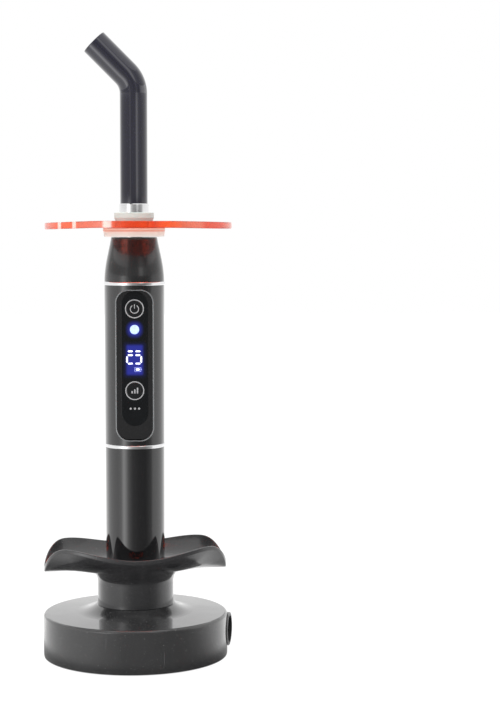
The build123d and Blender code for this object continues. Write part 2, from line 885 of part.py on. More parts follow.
def make_guide_ferrule():
    ferrule = turned(
        (core_r, ferrule_z),
        (ferrule_r, ferrule_z),
        (ferrule_r, ferrule_top_z),
        (sleeve_r + fixed_gap, ferrule_top_z),
        (sleeve_r + fixed_gap, ferrule_top_z - sleeve_depth),
        (core_r, ferrule_top_z - sleeve_depth),
    )
    circles = ferrule.edges().filter_by(GeomType.CIRCLE)
    ferrule = chamfer([edge for edge in circles if edge.radius > ferrule_r - same], ferrule_chamfer)
    groove_r = guide_bore_r - 2 * o_ring_r
    half = o_ring_r + fixed_gap
    return ferrule - tube(ferrule_r + o_ring_r, groove_r, o_ring_z - half, o_ring_z + half)


def make_guide_o_ring():
    return Pos(0, 0, o_ring_z) * Torus(guide_bore_r - running_gap / 2 - o_ring_r, o_ring_r - running_gap / 2)


# Shield

def make_grommet_washer():
    return turned(
        (guide_bore_r, washer_z),
        (washer_bottom_r, washer_z, soft_chamfer),
        (washer_top_r, grommet_z),
        (guide_bore_r, grommet_z),
    )


def make_shield_grommet():
    flange_top_z = grommet_z + flange_h
    return turned(
        (guide_bore_r, grommet_z),
        (flange_out_r, grommet_z),
        (flange_out_r, flange_top_z, soft_chamfer),
        (neck_r, flange_top_z),
        (neck_r, top_flange_z),
        (top_flange_foot_r, top_flange_z),
        (top_flange_r, top_flange_z + top_flange_foot_h),
        (top_flange_r, grommet_top_z, soft_chamfer),
        (guide_bore_r, grommet_top_z),
    )


def make_shield_disc():
    """Round plate, bent down along X from a flat middle to both ends."""
    reach = disc_r + disc_offset
    tip_z = disc_z - disc_tip_droop
    far_z = disc_z - disc_far_droop
    lower = [(-reach, tip_z), (-disc_flat_x, disc_z), (disc_flat_x, disc_z), (reach, far_z)]
    corners = lower + [(x, z + disc_t) for x, z in reversed(lower)]
    bends = [0, disc_bend, disc_bend, 0] * 2
    profile = FilletPolyline(*[(x, 0, z) for x, z in corners], radius=bends, close=True)
    plate = extrude(make_face(profile), amount=disc_r, both=True)
    disc = plate & rod(disc_r, disc_z - disc_t, disc_z + 2 * disc_t, disc_offset)
    rims = [edge for edge in disc.edges() if edge.length > disc_r * 2]
    disc = fillet(rims, disc_round)
    return disc - rod(neck_r + running_gap, disc_z - disc_t, disc_z + 2 * disc_t)


nodes = {
    "foot_pad": make_foot_pad(),
    "base_plate": make_base_plate(),
    "base_screws": make_base_screws(),
    "base_shell": make_base_shell(),
    "ballast": make_ballast(),
    "charger_board": make_charger_board(),
    "dc_jack": make_dc_jack(),
    "dc_pin": make_dc_pin(),
    "jack_bezel": make_jack_bezel(),
    "cradle": make_cradle(),
    "cradle_nut": make_cradle_nut(),
    "charge_well": make_charge_well(),
    "pin_board": make_pin_board(),
    "pin_barrels": group(at_pins(barrel)),
    "centre_pin": charge_pin(),
    "outer_pin": at_pins(charge_pin)[1],
    "end_cap": make_end_cap(),
    "centre_contact": make_centre_contact(),
    "ring_contact": make_ring_contact(),
    "battery_housing": make_battery_housing(),
    "battery_contact_bottom": make_battery_contact_bottom(),
    "battery_cell": make_battery_cell(),
    "battery_contact_top": make_battery_contact_top(),
    "joint_plug": make_joint_plug(),
    "lower_trim_ring": trim_ring(lower_ring_z, bore_r),
    "handle_housing": make_handle_housing(),
    "panel_lens": make_panel_lens(),
    "power_button": push_button(power_button_z),
    "mode_button": push_button(mode_button_z),
    "indicator_light": make_indicator_light(),
    "indicator_led": make_indicator_led(),
    "display_module": make_display_module(),
    "main_board": make_main_board(),
    "board_screws": make_board_screws(),
    "tact_switches": make_tact_switches(),
    "beeper": make_beeper(),
    "board_chips": make_board_chips(),
    "upper_trim_ring": trim_ring(upper_ring_z, flange_r + fixed_gap),
    "heat_sink": make_heat_sink(),
    "led_board": make_led_board(),
    "led_emitter": make_led_emitter(),
    "reflector": make_reflector(),
    "nose_housing": make_nose_housing(),
    "guide_socket": make_guide_socket(),
    "snap_ring": make_snap_ring(),
    "guide_core": make_guide_core(),
    "guide_sleeve": make_guide_sleeve(),
    "guide_ferrule": make_guide_ferrule(),
    "guide_o_ring": make_guide_o_ring(),
    "grommet_washer": make_grommet_washer(),
    "shield_grommet": make_shield_grommet(),
    "shield_disc": make_shield_disc(),
}

os.makedirs("parts", exist_ok=True)
for name, shape in nodes.items():
    export_step(shape, "parts/" + name + ".step")
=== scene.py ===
"""Looks of a dental curing light that stands in its round charging stand (Blender 4.5).

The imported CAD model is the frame. Every piece here is in metres, in the same frame: +Z is up, the
control panel faces -Y and the tip of the light guide points towards -X.
"""

import json
import logging
import math
from dataclasses import dataclass
from enum import Enum
from typing import Any, Iterable, Optional, Sequence, Union

import bmesh
import bpy
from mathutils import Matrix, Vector

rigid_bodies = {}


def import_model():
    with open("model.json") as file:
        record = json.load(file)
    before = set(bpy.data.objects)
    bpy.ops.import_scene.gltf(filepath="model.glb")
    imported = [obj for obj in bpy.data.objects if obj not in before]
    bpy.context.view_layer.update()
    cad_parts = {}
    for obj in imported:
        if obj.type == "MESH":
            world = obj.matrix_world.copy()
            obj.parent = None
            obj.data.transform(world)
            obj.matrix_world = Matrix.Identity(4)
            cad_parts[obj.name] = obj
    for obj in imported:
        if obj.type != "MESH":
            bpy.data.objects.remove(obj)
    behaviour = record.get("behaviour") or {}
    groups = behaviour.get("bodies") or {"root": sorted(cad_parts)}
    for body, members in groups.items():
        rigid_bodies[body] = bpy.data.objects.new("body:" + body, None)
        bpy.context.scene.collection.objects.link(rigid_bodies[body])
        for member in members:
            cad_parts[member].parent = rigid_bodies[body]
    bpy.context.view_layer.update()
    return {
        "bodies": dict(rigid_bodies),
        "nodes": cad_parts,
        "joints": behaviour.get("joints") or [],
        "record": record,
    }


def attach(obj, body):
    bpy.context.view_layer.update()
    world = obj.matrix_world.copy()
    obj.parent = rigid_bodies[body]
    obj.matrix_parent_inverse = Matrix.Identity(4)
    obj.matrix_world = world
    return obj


log = logging.getLogger("curing_light")

Colour = tuple[float, float, float]
Point = tuple[float, float]

MM = 0.001
SHARP_ANGLE = 35.0
SHOULDER_SHARE = 0.15
WHITE: Colour = (1.0, 1.0, 1.0)
BLACK: Colour = (0.0, 0.0, 0.0)
CLEAR_PLASTIC_IOR = 1.5


class Body(Enum):
    """Bodies of the frame that pieces ride on."""

    STAND = "stand"
    HANDPIECE = "handpiece"
    POWER_BUTTON = "power_button"
    MODE_BUTTON = "mode_button"


class Lit(Enum):
    """How strongly a mark on the panel shines by itself."""

    PRINTED = 0.0
    DIM = 0.35
    BRIGHT = 1.0


# Shader maths


class Value:
    """A number in a shader tree, with Python's operators as Math nodes."""

    def __init__(self, tree: "Tree", socket: bpy.types.NodeSocket) -> None:
        """Wrap one output socket of a tree."""
        self.tree = tree
        self.socket = socket

    def _math(self, operation: str, *terms: "Term") -> "Value":
        """Add a Math node.

        Args:
            operation: Name of the node's operation.
            terms: Its inputs, in order.

        Returns:
            The node's result.
        """
        node = self.tree.add("ShaderNodeMath", {"operation": operation}, dict(enumerate(terms)))
        return Value(self.tree, node.outputs[0])

    def __add__(self, other: "Term") -> "Value":
        """Sum."""
        return self._math("ADD", self, other)

    __radd__ = __add__

    def __sub__(self, other: "Term") -> "Value":
        """Difference."""
        return self._math("SUBTRACT", self, other)

    def __rsub__(self, other: "Term") -> "Value":
        """Reflected difference."""
        return self._math("SUBTRACT", other, self)

    def __mul__(self, other: "Term") -> "Value":
        """Product."""
        return self._math("MULTIPLY", self, other)

    __rmul__ = __mul__

    def __gt__(self, other: "Term") -> "Value":
        """1 where this is the larger, else 0."""
        return self._math("GREATER_THAN", self, other)

    def __lt__(self, other: "Term") -> "Value":
        """1 where this is the smaller, else 0."""
        return self._math("LESS_THAN", self, other)

    def __abs__(self) -> "Value":
        """Size without sign."""
        return self._math("ABSOLUTE", self)

    def root(self) -> "Value":
        """Square root."""
        return self._math("SQRT", self)

    def at_least(self, other: "Term") -> "Value":
        """The larger of two values."""
        return self._math("MAXIMUM", self, other)

    def bearing(self, other: "Term") -> "Value":
        """Angle in degrees of a direction with this as its sine and the other as its cosine."""
        return self._math("ARCTAN2", self, other) * math.degrees(1.0)

    def fade(self, start: float, end: float) -> "Value":
        """Smooth step.

        Args:
            start: Value at which the result is 0.
            end: Value at which the result is 1.

        Returns:
            A smooth 0 to 1.
        """
        node = self.tree.add(
            "ShaderNodeMapRange",
            {"interpolation_type": "SMOOTHSTEP"},
            {"Value": self, "From Min": start, "From Max": end, "To Min": 0.0, "To Max": 1.0},
        )
        return Value(self.tree, node.outputs["Result"])


Term = Union[Value, float, int]
Link = Union[Value, bpy.types.NodeSocket, float, int, Sequence[float]]


@dataclass(frozen=True)
class Pattern:
    """Soft noise around 0.5, or a smooth 0 to 1 where it is cut between two of its values.

    The scale is in waves per metre, the detail is the number of layers of finer noise, and the
    stretch is a factor on each axis.
    """

    scale: float
    detail: float = 3.0
    cut: Optional[Point] = None
    stretch: tuple[float, float, float] = (1.0, 1.0, 1.0)


class Tree:
    """Node tree of one material or world, filled by one method."""

    def __init__(
        self,
        owner: Union[bpy.types.Material, bpy.types.World],
        output: str = "ShaderNodeOutputMaterial",
    ) -> None:
        """Empty the owner's tree and give it an output.

        Args:
            owner: The material or world.
            output: Blender's type name of its output node.
        """
        owner.use_nodes = True
        self.nodes = owner.node_tree.nodes
        self.links = owner.node_tree.links
        self.nodes.clear()
        self.output = self.add(output)

    def add(
        self,
        kind: str,
        settings: Optional[dict[str, Any]] = None,
        inputs: Optional[dict[Union[str, int], Link]] = None,
    ) -> bpy.types.Node:
        """Add any node.

        Args:
            kind: Blender's type name of the node.
            settings: Its settings, set before its sockets; "stops" fills a ramp.
            inputs: Values or links of its sockets, by name or number.

        Returns:
            The node.
        """
        node = self.nodes.new(kind)
        for name, value in (settings or {}).items():
            if name == "stops":
                self._fill_ramp(node, value)
            else:
                setattr(node, name, value)
        for key, value in (inputs or {}).items():
            self.feed(node.inputs[key], value)
        return node

    def feed(self, socket: bpy.types.NodeSocket, value: Link) -> None:
        """Set a socket, or link it where the value is a node's output.

        Args:
            socket: The input socket.
            value: A number, a colour, a vector, a Value or an output socket.
        """
        if isinstance(value, Value):
            self.links.new(value.socket, socket)
        elif isinstance(value, bpy.types.NodeSocket):
            self.links.new(value, socket)
        elif isinstance(value, (int, float)):
            socket.default_value = value
        else:
            wanted = tuple(value)
            is_colour = socket.type == "RGBA" and len(wanted) == 3
            socket.default_value = wanted + (1.0,) if is_colour else wanted

    @staticmethod
    def _fill_ramp(node: bpy.types.Node, stops: Sequence[tuple[float, Colour]]) -> None:
        """Put the stops on a colour ramp.

        Args:
            node: The ramp's node.
            stops: Places between 0 and 1, each with its colour.
        """
        elements = node.color_ramp.elements
        while len(elements) < len(stops):
            elements.new(1.0)
        for element, (place, colour) in zip(elements, stops):
            element.position = place
            element.color = (*colour, 1.0)

    def position(self) -> bpy.types.NodeSocket:
        """Place on the object, in metres, which stays with the piece as it moves."""
        return self.add("ShaderNodeTexCoord").outputs["Object"]

    def axes(self) -> tuple[Value, Value, Value]:
        """Millimetres along X, Y and Z on the object."""
        inputs = {0: self.position(), "Scale": 1 / MM}
        in_mm = self.add("ShaderNodeVectorMath", {"operation": "SCALE"}, inputs)
        split = self.add("ShaderNodeSeparateXYZ", None, {0: in_mm.outputs[0]})
        x, y, z = (Value(self, socket) for socket in split.outputs)
        return x, y, z

    def noise(self, pattern: Pattern) -> Value:
        """Soft noise.

        Args:
            pattern: Its size, detail, cut and stretch.

        Returns:
            A value around 0.5, or from 0 to 1 where the pattern is cut.
        """
        stretch = {0: self.position(), 1: pattern.stretch}
        place = self.add("ShaderNodeVectorMath", {"operation": "MULTIPLY"}, stretch).outputs[0]
        inputs = {"Vector": place, "Scale": pattern.scale, "Detail": pattern.detail}
        value = Value(self, self.add("ShaderNodeTexNoise", None, inputs).outputs[0])
        return value.fade(*pattern.cut) if pattern.cut else value

    def cells(self, scale: float) -> Value:
        """Distance from the middle of the nearest of many small cells."""
        inputs = {"Vector": self.position(), "Scale": scale}
        node = self.add("ShaderNodeTexVoronoi", {"feature": "F1"}, inputs)
        return Value(self, node.outputs["Distance"])

    def mix(self, mask: Term, first: Link, second: Link) -> bpy.types.NodeSocket:
        """Blend two colours.

        Args:
            mask: Share of the second colour.
            first: Colour where the mask is 0.
            second: Colour where the mask is 1.

        Returns:
            The blended colour.
        """
        first_colour, second_colour, blended = 6, 7, 2
        inputs = {"Factor": mask, first_colour: first, second_colour: second}
        return self.add("ShaderNodeMix", {"data_type": "RGBA"}, inputs).outputs[blended]

    def ramp(
        self, place: Value, low: float, high: float, stops: Sequence[tuple[float, Colour]]
    ) -> bpy.types.NodeSocket:
        """Colour along a range.

        Args:
            place: Value that is looked up.
            low: Value at the ramp's start.
            high: Value at its end.
            stops: Values between these, each with its colour.

        Returns:
            The colour.
        """
        placed = [((stop - low) / (high - low), colour) for stop, colour in stops]
        share = (place - low) * (1.0 / (high - low))
        return self.add("ShaderNodeValToRGB", {"stops": placed}, {0: share}).outputs[0]

    def bump(self, height: Value, depth: float) -> bpy.types.NodeSocket:
        """Normal from a height of 0 to 1, raised by the depth in metres."""
        inputs = {"Height": height, "Distance": depth, "Strength": 1.0}
        return self.add("ShaderNodeBump", None, inputs).outputs[0]

    def seen(self) -> Value:
        """1 for rays from the camera, in gloss and through clear plastic, else 0."""
        path = self.add("ShaderNodeLightPath")
        rays = ("Is Camera Ray", "Is Glossy Ray", "Is Transmission Ray")
        camera, gloss, through = (Value(self, path.outputs[ray]) for ray in rays)
        return camera.at_least(gloss).at_least(through)

    def show(self, shader: bpy.types.Node) -> None:
        """Connect a shader to the output."""
        self.links.new(shader.outputs[0], self.output.inputs[0])

    def blend(self, mask: Value, first: bpy.types.Node, second: bpy.types.Node) -> None:
        """Show a blend of two shaders, the second where the mask is 1."""
        inputs = {0: mask, 1: first.outputs[0], 2: second.outputs[0]}
        self.show(self.add("ShaderNodeMixShader", None, inputs))

    def finish(self, settings: dict[str, Link]) -> None:
        """Show a Principled shader with the given sockets."""
        self.show(self.add("ShaderNodeBsdfPrincipled", None, settings))


def scaled(colour: Colour, share: float) -> Colour:
    """A colour times a number."""
    red, green, blue = colour
    return red * share, green * share, blue * share


# Finishes


@dataclass(frozen=True)
class Finish:
    """A surface finish that can make its material."""

    name: str

    def material(self) -> bpy.types.Material:
        """Make the finish's material at its first use.

        Returns:
            The material.
        """
        title = f"{self.name}_finish"
        found = bpy.data.materials.get(title)
        if found is None:
            found = bpy.data.materials.new(title)
            self.build(Tree(found))
        return found

    def build(self, tree: Tree) -> None:
        """Fill the tree."""
        raise NotImplementedError


@dataclass(frozen=True)
class PianoBlack(Finish):
    """Glossy moulded plastic with a clear coat, faint wipe marks and a little dust."""

    colour: Colour = (0.0035, 0.0035, 0.004)
    roughness: float = 0.07
    coat: float = 1.0
    swirl: float = 0.05
    ripple: float = 0.000004
    dust: float = 0.25
    scratches: float = 0.35
    dust_colour: Colour = (0.16, 0.155, 0.15)
    scratch_colour: Colour = (0.3, 0.3, 0.3)
    scratch_tint: float = 0.12
    worn_rough: float = 0.2
    wipes: Pattern = Pattern(60.0, 4.0, (0.35, 0.75), (1.0, 1.0, 0.35))
    hairlines: Pattern = Pattern(900.0, 2.0, (0.70, 0.76), (1.0, 1.0, 0.03))
    specks: Pattern = Pattern(2600.0, 0.0, (0.80, 0.84))
    waves: Pattern = Pattern(45.0, 1.0)

    def build(self, tree: Tree) -> None:
        """Wipe marks and dust in the roughness, hairlines, and a slow ripple of the moulding.

        Args:
            tree: The material's tree.
        """
        hair = tree.noise(self.hairlines) * self.scratches
        specks = tree.noise(self.specks)
        dusty = tree.mix(specks * self.dust, self.colour, self.dust_colour)
        rough = tree.noise(self.wipes) * self.swirl + self.roughness
        tree.finish(
            {
                "Base Color": tree.mix(hair * self.scratch_tint, dusty, self.scratch_colour),
                "Roughness": rough + hair * self.worn_rough + specks * self.worn_rough,
                "IOR": CLEAR_PLASTIC_IOR,
                "Coat Weight": self.coat,
                "Coat Roughness": 0.02,
                "Coat IOR": CLEAR_PLASTIC_IOR,
                "Normal": tree.bump(tree.noise(self.waves), self.ripple),
            }
        )


@dataclass(frozen=True)
class SatinPlastic(Finish):
    """Moulded plastic with a fine spark-eroded grain."""

    colour: Colour = (0.03, 0.03, 0.032)
    roughness: float = 0.42
    depth: float = 0.000012
    mottle: float = 0.25
    uneven: float = 0.18
    grain: Pattern = Pattern(2200.0, 2.0)
    clouds: Pattern = Pattern(140.0, 3.0, (0.3, 0.7))

    def build(self, tree: Tree) -> None:
        """Grain in bump and roughness, slow mottle in colour.

        Args:
            tree: The material's tree.
        """
        grain = tree.noise(self.grain)
        darker = scaled(self.colour, 1.0 - self.mottle)
        tree.finish(
            {
                "Base Color": tree.mix(tree.noise(self.clouds), self.colour, darker),
                "Roughness": grain * self.uneven + (self.roughness - self.uneven / 2),
                "Normal": tree.bump(grain, self.depth),
            }
        )


@dataclass(frozen=True)
class FoamRubber(Finish):
    """Closed-cell foam of a foot pad."""

    colour: Colour = (0.018, 0.018, 0.018)
    scuffed: Colour = (0.06, 0.058, 0.055)
    scuffing: float = 0.6
    roughness: float = 0.7
    uneven: float = 0.2
    cells: float = 1400.0
    depth: float = 0.00006
    scuffs: Pattern = Pattern(90.0, 5.0, (0.5, 0.75))

    def build(self, tree: Tree) -> None:
        """Fine cells and scuffs.

        Args:
            tree: The material's tree.
        """
        cell = tree.cells(self.cells)
        scuff = tree.noise(self.scuffs) * self.scuffing
        tree.finish(
            {
                "Base Color": tree.mix(scuff, self.colour, self.scuffed),
                "Roughness": cell * self.uneven + self.roughness,
                "Normal": tree.bump(cell, self.depth),
            }
        )


@dataclass(frozen=True)
class Metal(Finish):
    """Bare or plated metal with fine turning lines about Z."""

    colour: Colour = (0.82, 0.82, 0.84)
    roughness: float = 0.08
    lines: float = 0.04
    tarnish: float = 0.0
    tarnish_colour: Colour = (0.3, 0.25, 0.2)
    stain_rough: float = 0.05
    depth: float = 0.000002
    turning: Pattern = Pattern(300.0, stretch=(0.1, 0.1, 30.0))
    stains: Pattern = Pattern(220.0, 4.0, (0.45, 0.75))

    def build(self, tree: Tree) -> None:
        """Turning lines in the roughness, stains in the colour.

        Args:
            tree: The material's tree.
        """
        turning = tree.noise(self.turning)
        stain = tree.noise(self.stains)
        tree.finish(
            {
                "Base Color": tree.mix(stain * self.tarnish, self.colour, self.tarnish_colour),
                "Metallic": 1.0,
                "Roughness": turning * self.lines + stain * self.stain_rough + self.roughness,
                "Normal": tree.bump(turning, self.depth),
            }
        )


@dataclass(frozen=True)
class CircuitBoard(Finish):
    """Green solder mask with copper tracks and tinned pads."""

    mask: Colour = (0.012, 0.12, 0.045)
    raised: Colour = (0.03, 0.2, 0.08)
    tin: Colour = (0.75, 0.74, 0.7)
    track_scale: float = 420.0
    track_width: float = 0.06
    track_tint: float = 0.6
    tin_metal: float = 0.9
    roughness: float = 0.3
    uneven: float = 0.1
    depth: float = 0.00002
    pads: Pattern = Pattern(900.0, 0.0, (0.72, 0.74))

    def build(self, tree: Tree) -> None:
        """Tracks from a stepped brick pattern, pads from coarse specks.

        Args:
            tree: The material's tree.
        """
        sizes = {"Scale": self.track_scale, "Mortar Size": self.track_width}
        tracks = tree.add("ShaderNodeTexBrick", None, {"Vector": tree.position(), **sizes})
        track = Value(tree, tracks.outputs["Fac"])
        pads = tree.noise(self.pads)
        board = tree.mix(track * self.track_tint, self.mask, self.raised)
        tree.finish(
            {
                "Base Color": tree.mix(pads, board, self.tin),
                "Metallic": pads * self.tin_metal,
                "Roughness": track * self.uneven + self.roughness,
                "Normal": tree.bump(track, self.depth),
            }
        )


@dataclass(frozen=True)
class PrintedWrap(Finish):
    """Shrink sleeve of the battery cell."""

    sleeve: Colour = (0.02, 0.09, 0.36)
    band_colour: Colour = (0.85, 0.85, 0.85)
    band: Point = (30.0, 33.0)
    roughness: float = 0.25
    uneven: float = 0.15
    depth: float = 0.00004
    wrinkles: Pattern = Pattern(500.0, stretch=(1.0, 1.0, 4.0))

    def build(self, tree: Tree) -> None:
        """Blue sleeve with a white band and fine wrinkles.

        Args:
            tree: The material's tree.
        """
        _, _, z = tree.axes()
        band = (z > self.band[0]) * (z < self.band[1])
        wrinkle = tree.noise(self.wrinkles)
        tree.finish(
            {
                "Base Color": tree.mix(band, self.sleeve, self.band_colour),
                "Roughness": wrinkle * self.uneven + self.roughness,
                "Normal": tree.bump(wrinkle, self.depth),
            }
        )


@dataclass(frozen=True)
class Silicone(Finish):
    """Pale translucent silicone rubber, with painted shade above the shield and painted orange
    light from the shield below it.
    """

    colour: Colour = (0.8, 0.78, 0.72)
    # Painted shade: the greyer colour above the shield.
    shaded: Colour = (0.55, 0.62, 0.58)
    # Painted orange light from the shield, below it and round the seam.
    painted_shield_light: Colour = (1.0, 0.62, 0.48)
    seam_tint: Colour = (0.85, 0.33, 0.22)
    seam: float = 185.25
    seam_half: Point = (0.2, 0.45)
    seam_share: float = 0.8
    shield_light_below: float = 2.4
    shield_light_above: float = 0.25
    shield_light_shares: Point = (0.3, 0.45)
    shield_top: float = 189.0
    shield_fade: float = 0.8
    clouding: float = 0.85
    cloud_share: float = 0.35
    cloud_cut: Point = (0.3, 0.75)
    roughness: float = 0.3
    uneven: float = 0.12
    depth: float = 0.000006
    clouds: Pattern = Pattern(260.0, 4.0)
    grain: Pattern = Pattern(1800.0, 2.0)

    def build(self, tree: Tree) -> None:
        """Milky body with faint clouds, painted shade above the shield, painted orange light from
        the shield towards the seam, and a thin orange-red line at the seam.

        Args:
            tree: The material's tree.
        """
        _, _, z = tree.axes()
        cloud = tree.noise(self.clouds)
        above = z.fade(self.shield_top, self.shield_top + self.shield_fade)
        # Painted orange light from the shield, faded in below and just over the seam.
        below_seam = z.fade(self.seam - self.shield_light_below, self.seam) * self.shield_light_shares[0]
        over_seam = z.fade(self.seam, self.seam + self.shield_light_above) * self.shield_light_shares[1]
        lit_by_shield = (below_seam + over_seam) * (1.0 - above)
        # A thin orange-red line at the seam.
        joint = 1.0 - abs(z - self.seam).fade(*self.seam_half)
        milk = cloud.fade(*self.cloud_cut) * self.cloud_share
        milky = tree.mix(milk, self.colour, scaled(self.colour, self.clouding))
        body = tree.mix(lit_by_shield, tree.mix(above, milky, self.shaded), self.painted_shield_light)
        tree.finish(
            {
                "Base Color": tree.mix(joint * self.seam_share, body, self.seam_tint),
                "Roughness": cloud * self.uneven + self.roughness,
                "IOR": 1.41,
                "Subsurface Weight": 0.12,
                "Subsurface Radius": (0.0008, 0.0006, 0.0005),
                "Subsurface Scale": 1.0,
                "Normal": tree.bump(tree.noise(self.grain), self.depth),
            }
        )


@dataclass(frozen=True)
class FilterAcrylic(Finish):
    """Transparent orange acrylic of the shield, whose sawn edge has painted light and shade in its
    colour round the disc, painted glints and a faint painted glow.
    """

    colour: Colour = (0.8, 0.1, 0.045)
    rim_radius: float = 40.05
    rim_fade: float = 0.35
    centre_x: float = 1.87
    orange: Colour = (0.88, 0.086, 0.016)
    amber: Colour = (0.76, 0.115, 0.038)
    ember: Colour = (0.64, 0.054, 0.02)
    salmon: Colour = (0.68, 0.17, 0.105)
    # Colour of the painted glints, near-white spots on the edge.
    glint_colour: Colour = (1.0, 0.93, 0.88)
    glint_core: float = 0.45
    roughness: float = 0.03
    wipe_rough: float = 0.05
    hairline_rough: float = 0.12
    wipes: Pattern = Pattern(70.0, 4.0, (0.4, 0.8), (1.0, 0.3, 1.0))
    hairlines: Pattern = Pattern(700.0, 2.0, (0.70, 0.75), (1.0, 0.04, 1.0))
    # Painted light and shade: the edge's colour, lighter and deeper by bearing round the disc.
    edge: tuple[tuple[float, Colour], ...] = (
        (-180, salmon), (-150, orange), (-120, salmon), (-95, ember), (-71, salmon), (-56, amber),
        (-45, amber), (-37, salmon), (-24, salmon), (-16, amber), (-9, orange), (4, orange),
        (9, ember), (16, orange), (23, amber), (30, salmon), (40, salmon), (44, ember),
        (60, ember), (74, salmon), (100, orange), (140, salmon), (180, salmon),
    )
    # Painted glints: bearings in degrees on the edge, each with its half width.
    painted_glints: tuple[Point, ...] = (
        (-55.2, 2.4), (-41.5, 2.0), (-18.8, 3.6), (131.0, 2.2), (-98.0, 1.8), (-152.0, 2.6),
    )

    def build(self, tree: Tree) -> None:
        """Plain colour on the faces; on the edge, painted light and shade by bearing, painted
        glints and a painted glow; wipe marks and hairlines.

        Args:
            tree: The material's tree.
        """
        x, y, _ = tree.axes()
        off = x - self.centre_x
        rim = (off * off + y * y).root().fade(self.rim_radius - self.rim_fade, self.rim_radius)
        around = off.bearing(y * -1.0)
        glinted: Value = rim * 0.0
        for place, half in self.painted_glints:
            glint = 1.0 - abs(around - place).fade(half * self.glint_core, half)
            glinted = glinted.at_least(glint)
        edge = tree.ramp(around, -180.0, 180.0, self.edge)
        body = tree.mix(glinted * rim, tree.mix(rim, self.colour, edge), self.glint_colour)
        wipes = tree.noise(self.wipes) * self.wipe_rough
        hair = tree.noise(self.hairlines) * self.hairline_rough
        tree.finish(
            {
                "Base Color": body,
                "Roughness": wipes + hair + self.roughness,
                "IOR": 1.49,
                "Transmission Weight": 0.72,
                # Painted glow: the edge shines faintly by itself.
                "Emission Color": tree.mix(rim, BLACK, body),
                "Emission Strength": 0.16,
                "Coat Weight": 0.25,
                "Coat Roughness": 0.03,
            }
        )


@dataclass(frozen=True)
class FibreGlass(Finish):
    """Polished end of a bundle of glass fibres."""

    fibre: Colour = (0.42, 0.47, 0.52)
    gap: Colour = (0.1, 0.12, 0.15)
    fibres: float = 2600.0
    fibre_cut: Point = (0.1, 0.6)
    roughness: float = 0.08
    uneven: float = 0.1
    depth: float = 0.00001

    def build(self, tree: Tree) -> None:
        """Speckle of the fibres' ends.

        Args:
            tree: The material's tree.
        """
        cell = tree.cells(self.fibres).fade(*self.fibre_cut)
        tree.finish(
            {
                "Base Color": tree.mix(cell, self.fibre, self.gap),
                "Roughness": cell * self.uneven + self.roughness,
                "IOR": 1.52,
                "Coat Weight": 1.0,
                "Coat Roughness": 0.02,
                "Normal": tree.bump(cell, self.depth),
            }
        )


@dataclass(frozen=True)
class Halo:
    """Soft light under the panel's middle: a rounded patch that fades outwards. Millimetres."""

    z: float
    half_width: float
    half_height: float
    fade: float
    colour: Colour
    strength: float

    def light(self, x: Value, z: Value) -> Value:
        """How bright the patch is at a place.

        Args:
            x: Millimetres along X.
            z: Millimetres along Z.

        Returns:
            1 on the patch, down to 0 outside it.
        """
        across = (abs(x) - self.half_width).at_least(0.0)
        along = (abs(z - self.z) - self.half_height).at_least(0.0)
        return 1.0 - (across * across + along * along).root().fade(0.0, self.fade)


@dataclass(frozen=True)
class PanelGloss(Finish):
    """Smoked panel lens with the light of the indicator and the display shining through."""

    colour: Colour = (0.0022, 0.0028, 0.0034)
    wiped: Colour = (0.006, 0.006, 0.007)
    wiping: float = 0.3
    wipe_cut: Point = (0.5, 0.8)
    roughness: float = 0.04
    uneven: float = 0.04
    wipes: Pattern = Pattern(120.0)
    halos: tuple[Halo, ...] = ()

    def build(self, tree: Tree) -> None:
        """Black gloss plus each halo's glow.

        Args:
            tree: The material's tree.
        """
        x, _, z = tree.axes()
        glow: Link = BLACK
        for halo in self.halos:
            glow = tree.mix(halo.light(x, z), glow, scaled(halo.colour, halo.strength))
        wipes = tree.noise(self.wipes)
        marks = wipes.fade(*self.wipe_cut) * self.wiping
        tree.finish(
            {
                "Base Color": tree.mix(marks, self.colour, self.wiped),
                "Roughness": wipes * self.uneven + self.roughness,
                "IOR": 1.45,
                "Emission Color": glow,
                "Emission Strength": 1.0,
            }
        )


@dataclass(frozen=True)
class PanelMark(Finish):
    """Printed or back-lit mark on the panel."""

    colour: Colour = (0.6, 0.6, 0.6)
    lit: Lit = Lit.PRINTED
    worn: float = 0.82
    worn_cut: Point = (0.35, 0.65)
    roughness: float = 0.3
    uneven: float = 0.1
    grain: Pattern = Pattern(1500.0, 2.0)

    def build(self, tree: Tree) -> None:
        """Slightly uneven ink, with its own light where it is back-lit.

        Args:
            tree: The material's tree.
        """
        grain = tree.noise(self.grain)
        ink = tree.mix(grain.fade(*self.worn_cut), self.colour, scaled(self.colour, self.worn))
        tree.finish(
            {
                "Base Color": ink,
                "Roughness": grain * self.uneven + self.roughness,
                "Emission Color": ink,
                "Emission Strength": self.lit.value,
            }
        )


CIRCUIT_BOARD = CircuitBoard("circuit_board")
INNER_PLASTIC = SatinPlastic("inner_plastic", (0.02, 0.02, 0.02), 0.5)
CONTACT_BRASS = Metal("contact_brass", (0.86, 0.62, 0.26), 0.14, 0.1, 0.2)


# Mesh tools


def new_piece(name: str, mesh: bmesh.types.BMesh, smooth: bool = True) -> bpy.types.Object:
    """Turn a bmesh into an object of the scene.

    Args:
        name: Name of the piece.
        mesh: Its mesh, freed here.
        smooth: Whether its faces are shaded smooth up to the sharp angle.

    Returns:
        The object.
    """
    data = bpy.data.meshes.new(name)
    bmesh.ops.recalc_face_normals(mesh, faces=mesh.faces)
    mesh.to_mesh(data)
    mesh.free()
    piece = bpy.data.objects.new(name, data)
    bpy.context.scene.collection.objects.link(piece)
    if smooth:
        data.shade_smooth()
        data.set_sharp_from_angle(angle=math.radians(SHARP_ANGLE))
    return piece


